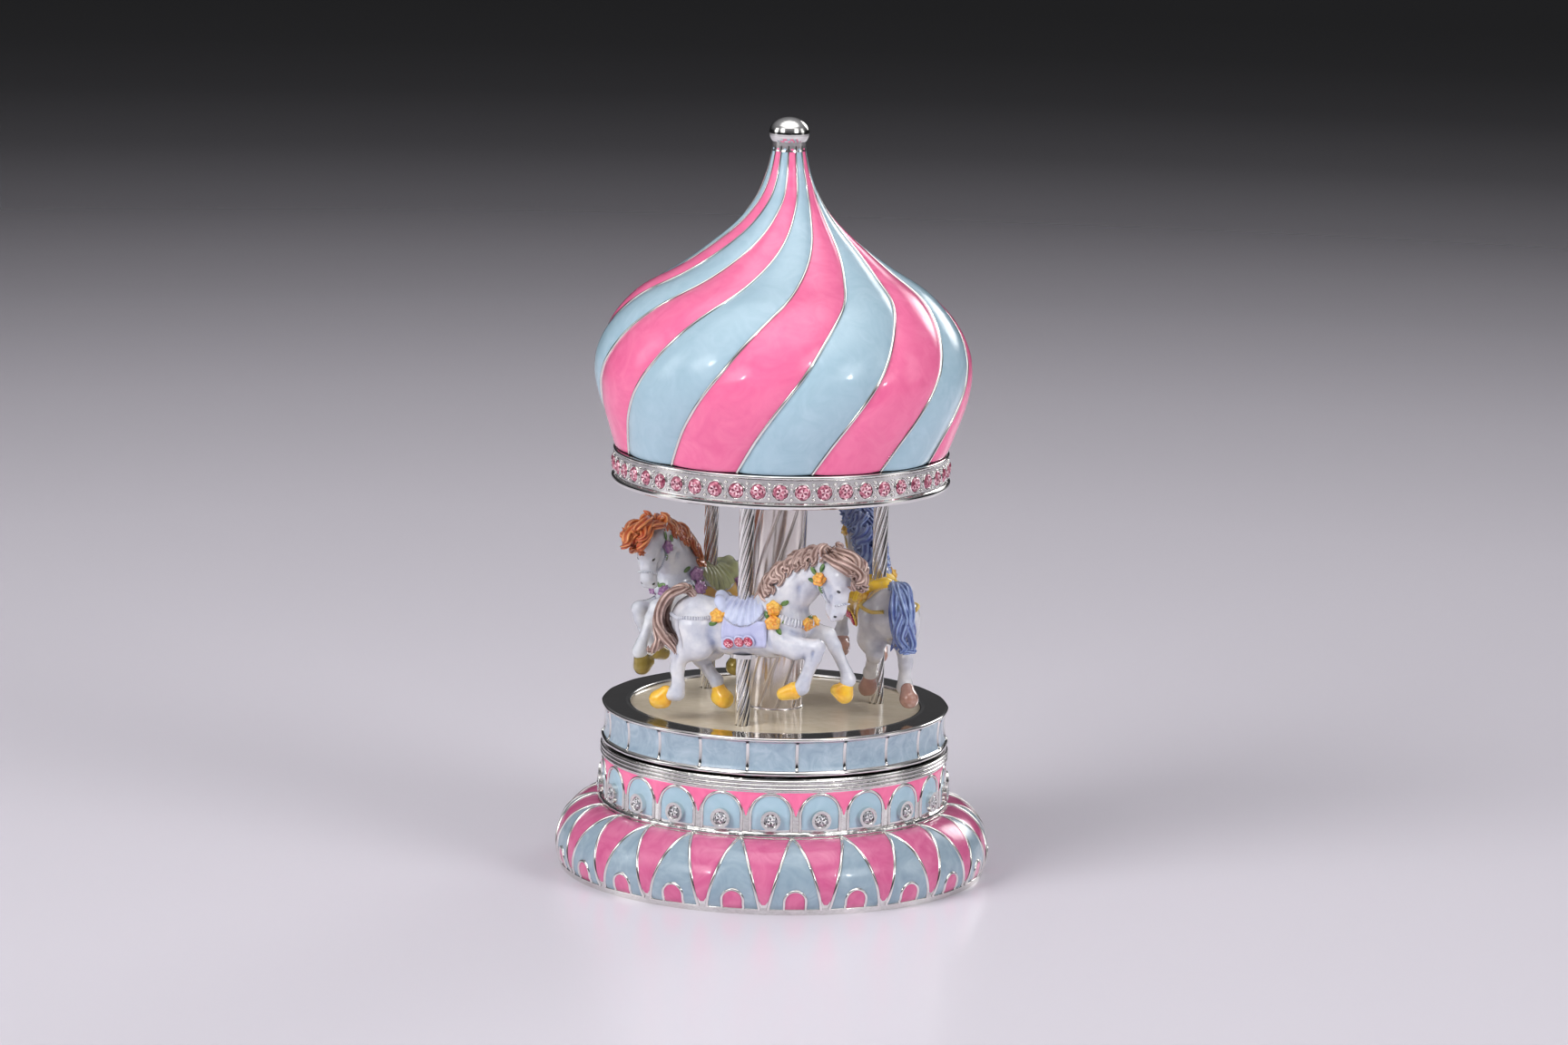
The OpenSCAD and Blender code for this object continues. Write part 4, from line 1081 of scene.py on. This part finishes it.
                knots = [knot(0.9, 0.1, 0.1), knot(0.3 + 0.2 * j[0], 1.1 + 0.2 * j[1], 0.5),
                         knot(-0.9, 1.35 + 0.3 * j[2], 1.1), knot(-1.9 + 0.3 * j[3], 0.8, 1.9),
                         knot(-2.4, -0.2 + 0.3 * j[4], 2.6), knot(-2.0 + 0.5 * j[5], -1.0 + 0.3 * j[6], 3.1),
                         knot(-2.9 + 0.5 * j[5], -1.5 + 0.5 * j[7], 3.3)]
                self.lock(sculpt, knots, 1.22 + 0.15 * j[3], 0.75, out * 0.9 + lift)
        curls = (
            [(19.0, 0.3, 68.2), (21.4, 0.3, 69.6), (24.0, 0.3, 69.4), (26.0, 0.5, 68.0), (26.6, 0.6, 66.4),
             (25.6, 0.6, 65.6)],
            [(19.2, -0.9, 67.8), (22.0, -1.2, 68.8), (24.6, -1.2, 68.2), (27.0, -1.0, 66.8),
             (28.3, -0.9, 65.2), (27.8, -0.9, 63.8), (26.8, -0.8, 63.9)],
            [(19.2, 1.0, 67.9), (22.0, 1.3, 69.0), (24.8, 1.4, 68.0), (26.6, 1.4, 66.0), (27.4, 1.4, 63.8),
             (26.6, 1.4, 62.4), (25.6, 1.3, 62.8)],
            [(20.6, -0.2, 68.0), (23.5, -0.3, 68.4), (25.8, -0.3, 66.8), (26.6, -0.2, 64.6),
             (25.6, -0.2, 62.8), (24.8, -0.2, 63.2)],
            [(18.8, 1.7, 67.4), (21.4, 2.1, 68.7), (24.0, 2.0, 68.3), (26.0, 1.8, 67.2), (27.2, 1.7, 65.8),
             (26.7, 1.6, 65.0)],
            [(18.8, -1.8, 67.2), (21.4, -2.4, 68.6), (24.2, -2.3, 67.6), (26.2, -2.0, 66.2),
             (27.4, -1.8, 66.0), (27.9, -1.7, 66.9)],
        )
        for knots in curls:
            along = np.linspace(0, 1, len(knots))
            moved = [(x, y + self.part_side * k, z + self.part_rise * k * k)
                     for (x, y, z), k in zip(knots, along)]
            self.lock(sculpt, moved, 1.15, 0.9, (0.3, 0, 1.0), 34)
        for s in (-1, 1):
            ear = [(18.4, s * 1.2, 67.0), (18.9, s * 1.6, 68.2), (19.4, s * 1.9, 69.8), (19.8, s * 1.9, 71.0)]
            self.lock(sculpt, ear, 1.15, 1.0, (1, 0, 0), 18)

    def tail(self, sculpt):
        for k in range(5):
            x = k / 4
            y = (0.4 - 4.4 * x) * self.tail_width
            j = self.draw.uniform(-0.3, 0.3, 6)
            hug = 1.2 * abs(x - 0.5)
            knots = [(-9.9, 0.3 * y, 57.2), (-11.9, 0.5 * y, 58.7), (-14.6, 0.8 * y, 57.9 + 0.3 * j[0]),
                     (-16.7 + hug, y, 55.2), (-17.0 + hug + 0.5 * j[2], y - 0.2, 52.2),
                     (-15.7 + 0.5 * hug, y - 0.3, 49.8 + j[3]), (-13.9, 0.9 * y - 0.4, 48.2 + j[4]),
                     (-12.7 + j[5], 0.9 * y - 0.4, 46.6 + j[1]), (-12.9, 0.9 * y - 0.4, 45.6)]
            self.lock(sculpt, knots, 0.98, 0.95, (-0.8, -0.25, 0.3), 40)
        for k in range(3):
            y = (-0.6 - 1.5 * k) * self.tail_width
            j = self.draw.uniform(-0.4, 0.4, 4)
            knots = [(-15.0, 0.8 * y, 56.8), (-17.0, y, 53.6), (-17.1, y, 50.8 + j[0]),
                     (-16.4 + j[1], y, 48.6), (-17.2, 1.1 * y, 46.9 + 0.5 * j[2]),
                     (-18.2, 1.1 * y, 46.6), (-18.3, 1.1 * y, 47.5)]
            self.lock(sculpt, knots, 0.85, 0.8, (-1, 0, 0.2), 32)

    # Flowers, leaves, straps and stones

    def flower(self, sculpt, body, where, r):
        """A rose bud: petals wound round its heart."""
        centre, out = body.settle(where, 0.15 * r)
        b = np.linspace(-0.35, pi / 2, 14)[:, None]
        a = np.linspace(0, 2 * pi, 30, endpoint=False)[None, :]
        wind = np.sin(2.5 * a + 7.5 * b + self.draw.uniform(0, 6))
        size = r * (1 + 0.17 * wind * np.cos(b) + 0.09 * np.sin(5 * a - 3 * b))
        local = np.stack([np.cos(b) * np.cos(a), np.cos(b) * np.sin(a), 0.8 * np.sin(b) + 0 * a], -1)
        rows = (local * size[..., None]) @ facing(out).T + centre
        self.sheet(sculpt, rows, ring=True, value=np.clip(0.5 + 0.5 * wind, 0, 1).ravel())

    def leaf(self, sculpt, body, where, length, angle):
        centre, out = body.settle(where, 0.12)
        turn = facing(out) @ np.array(Matrix.Rotation(radians(angle), 3, "Z"))
        t = np.linspace(-1, 1, 11)[:, None]
        k = np.linspace(-1, 1, 7)[None, :]
        width = 0.52 * length * np.sqrt(np.clip(1 - np.abs(t) ** 1.7, 0, 1))
        arch = 0.22 * (1 - k ** 2) * (1 - t ** 2) + 0.07 * np.abs(k) - 0.02
        local = np.stack([t * length + 0 * k, width * k, arch], -1)
        self.sheet(sculpt, local @ turn.T + centre, flip=True, value=np.abs(k + 0 * t).ravel())

    def strap(self, sculpt, body, knots, width, ribs):
        """A ribbed strap over the body."""
        count = max(int(ribs * 6), 24)
        path, out = body.settle(self.turned(smooth_curve(knots, count)), 0.05)
        side = np.cross(unit(np.gradient(path, axis=0)), out)
        a = np.linspace(radians(-20), radians(200), 9)[None, :]
        beat = 0.5 + 0.5 * np.cos(np.linspace(0, 2 * pi * ribs, count))[:, None]
        across = side[:, None] * (np.cos(a) * width * (0.86 + 0.14 * beat))[..., None]
        upwards = out[:, None] * (np.sin(a) * (0.2 + 0.3 * beat))[..., None]
        # The value darkens the grooves between the ribs with painted shade.
        self.sheet(sculpt, path[:, None] + across + upwards, flip=True, value=(1 - beat + 0 * a).ravel())

    def build(self):
        trunk, body = self.trunk(), self.trunk()
        self.neck_and_head(body)
        self.legs(body)
        parts = (
            ("body", body, "coat", 1.3, 0.47, [self.name]),
            ("hooves", self.hooves(), "hoof", 0.8, 0.45, ()),
            ("saddle", self.saddle(trunk), "saddle", 0.8, 0.5, ()),
            ("cloth", self.cloth(trunk), "cloth", 0.8, 0.5, ()),
        )
        for part, field, coat, reach, flat, replaced in parts:
            points, quads = field.skin()
            # sunk is the painted shade in creases and hollows, from how sunken each place is.
            sunk = np.clip((field.sample(points, field.hollows(reach)) - flat) * 7, 0, 1)
            sculpt = Sculpt()
            self.out(sculpt, points, quads, sunk)
            self.piece(sculpt, part, self.paints[coat], replaces=replaced)
        hair = Sculpt()
        self.mane(hair)
        self.tail(hair)
        self.piece(hair, "hair", self.paints["hair"])
        self.garlands(body)
        self.harness(body, trunk)
        self.eyes(body)
        self.stones(trunk)

    def garlands(self, body):
        roses, leaves = Sculpt(), Sculpt()
        blooms = [((7.3, -4.6, 57.2), 1.35), ((7.4, -4.9, 54.4), 1.35), ((-4.2, -4.8, 55.0), 1.35),
                  ((13.6, -1.8, 54.0), 1.2), ((19.4, -2.7, 64.1), 1.3)]
        sprigs = [((9.4, -4.4, 58.2), 30), ((9.0, -4.6, 54.9), -20), ((8.6, -4.9, 52.9), -60),
                  ((-5.0, -4.8, 53.2), 200), ((-2.6, -4.8, 53.4), -50), ((19.8, -2.5, 66.3), 80),
                  ((19.9, -2.6, 62.3), -70), ((17.4, -2.9, 63.4), 160), ((17.9, -2.8, 65.6), 130),
                  ((14.2, -1.0, 55.2), 20), ((6.0, -4.9, 55.8), 120)]
        for place, r in blooms:
            for spot in both(place):
                self.flower(roses, body, self.turned(spot), r)
        for place, angle in sprigs:
            for spot in both(place):
                self.leaf(leaves, body, self.turned(spot), 0.95, angle)
        self.piece(roses, "flowers", self.paints["flower"])
        self.piece(leaves, "leaves", LEAF)

    def harness(self, body, trunk):
        straps = Sculpt()
        breast = [(8.4, -4.6, 55.4), (11.2, -4.2, 54.6), (13.2, -2.6, 54.1), (13.9, 0, 53.9)]
        breast += [(x, -y, z) for x, y, z in breast[-2::-1]]
        self.strap(straps, body, breast, 0.85, 24)
        for s in (-1, 1):
            rump = [(-5.0, s * 4.8, 54.8), (-8.5, s * 5.0, 53.6), (-11.8, s * 4.2, 53.4),
                    (-14.2, s * 2.0, 53.8)]
            cheek = [(19.6, s * 2.6, 63.6), (20.6, s * 2.4, 61.2), (21.2, s * 1.9, 59.4)]
            turn = np.radians(range(12, 170, 12))
            hem = [(0.8 + 4.9 * cos(b), s * 4.6, 58.2 - 5.0 * sin(b)) for b in turn]
            self.strap(straps, body, rump, 0.4, 24)
            self.strap(straps, body, cheek, 0.2, 12)
            self.strap(straps, trunk, hem, 0.45, 40)
        self.strap(straps, body, [(22.8, -1.9, 59.2), (23.8, 0, 59.6), (22.8, 1.9, 59.2)], 0.2, 10)
        self.piece(straps, "straps", self.paints["strap"])

    def eyes(self, body):
        """Eyes and nostrils, as dark domed dots."""
        dots = Sculpt()
        for place, r in (((23.6, -2.0, 61.8), 0.46), ((22.6, -1.5, 56.8), 0.34)):
            for spot in both(place):
                centre, out = body.settle(self.turned(spot), -0.05)
                self.sheet(dots, cap(6, 12, 0.02, 0.7) * r @ facing(out).T + centre, ring=True)
        self.piece(dots, "eyes", EYE)

    def stones(self, trunk):
        stones, cups = Sculpt(), Sculpt()
        turn = np.array(Matrix.Rotation(self.angle, 3, "Z"))
        places = []
        for k in (-1, 0, 1):
            for spot in both((0.7 + 2.2 * k, -4.4, 50.3 + 0.4 * k)):
                centre, out = trunk.settle(spot, 1.2)
                centre, out = turn @ centre + self.centre, turn @ out
                places.append((centre, out))
                torus(cups, centre - 0.3 * out, out, 1.1, 0.22, 20, 8)
        set_stones(stones, places, CLOTH_STONE_R, 11)
        self.piece(stones, "crystals", ROSE_STONE, "pink_stone", [self.name + "_stones"], False)
        self.piece(cups, "cups", self.paints["cloth"])


NECK_X = 10.5
PITCH = 0.26
REACH = ((-21, -14, 33), (27, 11, 72))
LEAF = paint("leaf_green", (0.03, 0.10, 0.02), (0.13, 0.24, 0.05))
EYE = paint("eye_black", (0.01, 0.01, 0.012), (0.03, 0.03, 0.035), 0.1)


def palette(side, coat, hoof, saddle, cloth, hair, flower, strap):
    """A horse's paints: each is a name and its deep and light colours, then what differs from the usual."""
    return {
        "coat": paint("coat_" + side, *coat, 0.15, 200.0),
        "hoof": paint("hoof_" + hoof[0], *hoof[1:]),
        "saddle": paint("saddle_" + saddle[0], *saddle[1:]),
        "cloth": paint("cloth_" + cloth[0], *cloth[1:]),
        "hair": paint("hair_" + hair[0], *hair[1:], streaks=0.22),
        "flower": paint("flower_" + flower[0], *flower[1:]),
        "strap": paint("strap_" + strap[0], *strap[1:]),
    }


# In each paint the deep colour is painted shade in the creases. On hair the first colour is a painted
# highlight on the ridges and the second painted shade in the grooves; on straps the deep colour is painted
# shade between the ribs.
PALETTES = {
    "front": palette(
        "front", ((0.24, 0.28, 0.43), (0.73, 0.725, 0.76)),
        hoof=("yellow", (0.80, 0.22, 0.02), (0.92, 0.60, 0.05)),
        saddle=("lavender", (0.36, 0.40, 0.64), (0.62, 0.67, 0.84)),
        cloth=("lilac", (0.30, 0.32, 0.60), (0.60, 0.62, 0.84)),
        hair=("rose_brown", (0.90, 0.66, 0.58), (0.13, 0.055, 0.04), 0.25, 300.0, 0.3),
        flower=("yellow", (0.80, 0.25, 0.02), (0.95, 0.62, 0.10)),
        strap=("white", (0.20, 0.22, 0.32), (0.80, 0.80, 0.84))),
    "left": palette(
        "left", ((0.27, 0.30, 0.43), (0.74, 0.75, 0.78)),
        hoof=("olive", (0.14, 0.09, 0.01), (0.40, 0.30, 0.06), 0.2, 260.0, 0.3),
        saddle=("olive", (0.22, 0.25, 0.11), (0.46, 0.50, 0.25)),
        cloth=("amber", (0.55, 0.20, 0.03), (0.70, 0.48, 0.15)),
        hair=("orange", (0.92, 0.42, 0.14), (0.42, 0.04, 0.008), 0.25, 300.0, 0.15),
        flower=("lilac", (0.20, 0.06, 0.22), (0.52, 0.30, 0.50)),
        strap=("pale", (0.33, 0.36, 0.48), (0.74, 0.76, 0.78))),
    "right": palette(
        "right", ((0.26, 0.27, 0.37), (0.74, 0.73, 0.75)),
        hoof=("brown", (0.20, 0.09, 0.07), (0.48, 0.26, 0.20)),
        saddle=("yellow", (0.60, 0.28, 0.01), (0.88, 0.60, 0.04)),
        cloth=("yellow", (0.55, 0.25, 0.02), (0.82, 0.55, 0.08)),
        hair=("blue", (0.45, 0.60, 0.90), (0.03, 0.055, 0.28), 0.22, 300.0, 0.15),
        flower=("gold", (0.62, 0.26, 0.02), (0.88, 0.58, 0.08)),
        strap=("gold", (0.50, 0.30, 0.04), (0.80, 0.58, 0.12))),
}
HEAD_TURN = {"front": 27, "right": 2, "left": -27}
FORELOCK_SIDE = {"front": 0.0, "right": 0.4, "left": -1.9}
FORELOCK_RISE = {"front": 0.0, "right": 0.6, "left": 1.7}
TAIL_WIDTH = {"front": 1.0, "right": 0.72, "left": 0.9}


def build_horses():
    for index, side in enumerate(SIDES):
        Horse(index, side, HEAD_TURN[side], PALETTES[side]).build()


# ---- Camera, floor and light ----

def look_at(place, target, roll=0.0):
    turn = (Vector(target) - Vector(place)).to_track_quat("-Z", "Y").to_matrix().to_4x4()
    return Matrix.Translation(place) @ turn @ Matrix.Rotation(radians(roll), 4, "Z")


def build_camera():
    camera = bpy.data.objects.new("camera", bpy.data.cameras.new("camera"))
    camera.data.lens = 137.9
    camera.data.sensor_width = 36.0
    camera.data.clip_end = 20.0
    pitch = radians(10.36)
    place = Vector((0.00085, -1.16817, 0.28293))
    camera.matrix_world = look_at(place, place + Vector((0, cos(pitch), -sin(pitch))), 1.44)
    bpy.context.scene.collection.objects.link(camera)
    bpy.context.scene.camera = camera


def build_floor():
    mesh = bpy.data.meshes.new("floor")
    size = 12
    square = [(-size, -size, 0), (size, -size, 0), (size, size, 0), (-size, size, 0)]
    mesh.from_pydata(square, [], [(0, 1, 2, 3)])
    floor = bpy.data.objects.new("floor", mesh)
    bpy.context.scene.collection.objects.link(floor)
    material, node, feed, dial = shader("studio_floor")
    place = node("ShaderNodeTexCoord")
    reach = node("ShaderNodeVectorMath", [("Vector", place.outputs["Object"])], operation="LENGTH")
    far = spread(node, reach.outputs["Value"], From_Max=2.0)
    # The floor's colour is a painted pool of light: pale near the carousel, fading to dark further out.
    stops = np.linspace(0.0, 0.9, 10)
    painted_pool_greys = 0.85 / (1.0 + np.exp(10.0 * (stops - 0.365)))
    shades = [(grey, 0.95 * grey, 1.04 * grey) for grey in painted_pool_greys.tolist()]
    feed("Base Color", between(node, far, shades, stops))
    dial(Roughness=0.22, Specular_IOR_Level=0.2)
    mesh.materials.append(material)


def soft_light(name, place, size, power, lit=True, mirrored=True):
    """A softbox aimed at the carousel, fading towards its edges: it lights, shows in reflections, or both."""
    data = bpy.data.lights.new(name, "AREA")
    data.shape = "RECTANGLE"
    data.size, data.size_y = size
    data.energy = power
    data.use_nodes = True
    tree = data.node_tree
    node = adder(tree)
    panel = node("ShaderNodeNewGeometry")
    centred = node("ShaderNodeVectorMath", [(0, panel.outputs["Parametric"])], operation="SUBTRACT")
    centred.inputs[1].default_value = (0.5, 0.5, 0.0)
    reach = node("ShaderNodeVectorMath", [(0, centred.outputs["Vector"])], operation="LENGTH")
    ends = {"From_Min": 0.5, "From_Max": 0.12, "To_Max": 2.2}
    fade = spread(node, reach.outputs["Value"], interpolation_type="SMOOTHSTEP", **ends)
    tree.links.new(fade, tree.nodes["Emission"].inputs["Strength"])
    light = bpy.data.objects.new(name, data)
    light.matrix_world = look_at(place, (0, 0, 0.08))
    light.visible_diffuse = lit
    light.visible_glossy = mirrored
    bpy.context.scene.collection.objects.link(light)


def build_light():
    soft_light("key", (-1.25, -1.0, 0.95), (1.7, 1.6), 37, mirrored=False)
    soft_light("fill", (1.4, -0.95, 0.70), (1.3, 1.6), 23, mirrored=False)
    soft_light("top", (0.0, 0.1, 1.5), (2.6, 2.2), 5, mirrored=False)
    soft_light("top_panel", (0.0, -0.2, 1.6), (3.0, 2.4), 24, lit=False)
    soft_light("left_panel", (-1.7, -0.2, 0.65), (1.1, 1.6), 5.5, lit=False)
    soft_light("right_panel", (1.7, -0.15, 0.6), (1.0, 1.6), 3.2, lit=False)
    soft_light("front_left", (-1.25, -1.35, 1.05), (1.5, 1.1), 8, lit=False)
    soft_light("front_right", (1.25, -1.3, 1.0), (1.5, 1.1), 7, lit=False)
    soft_light("left_spark", (-0.75, -1.15, 0.7), (0.14, 0.2), 1.5)
    soft_light("right_spark", (0.95, -1.0, 0.6), (0.12, 0.18), 1.3)
    soft_light("rim", (0.9, 1.3, 0.7), (1.0, 1.0), 8)
    world = bpy.data.worlds.new("studio")
    world.use_nodes = True
    tree = world.node_tree
    node = adder(tree)
    place = node("ShaderNodeTexCoord")
    split = node("ShaderNodeSeparateXYZ", [(0, place.outputs["Generated"])])
    sky = between(node, split.outputs["Z"], ((0.02, 0.02, 0.022), (0.60, 0.60, 0.63)), (0.1, 0.75))
    tree.links.new(sky, tree.nodes["Background"].inputs["Color"])
    tree.nodes["Background"].inputs["Strength"].default_value = 0.5
    bpy.context.scene.world = world
    bpy.context.scene.view_settings.view_transform = "Standard"


build_camera()
build_floor()
build_light()
build_foot()
build_band()
build_stones()
build_platform()
build_column()
build_poles()
build_dome()
build_band_setting()
build_horses()

bpy.context.view_layer.update()
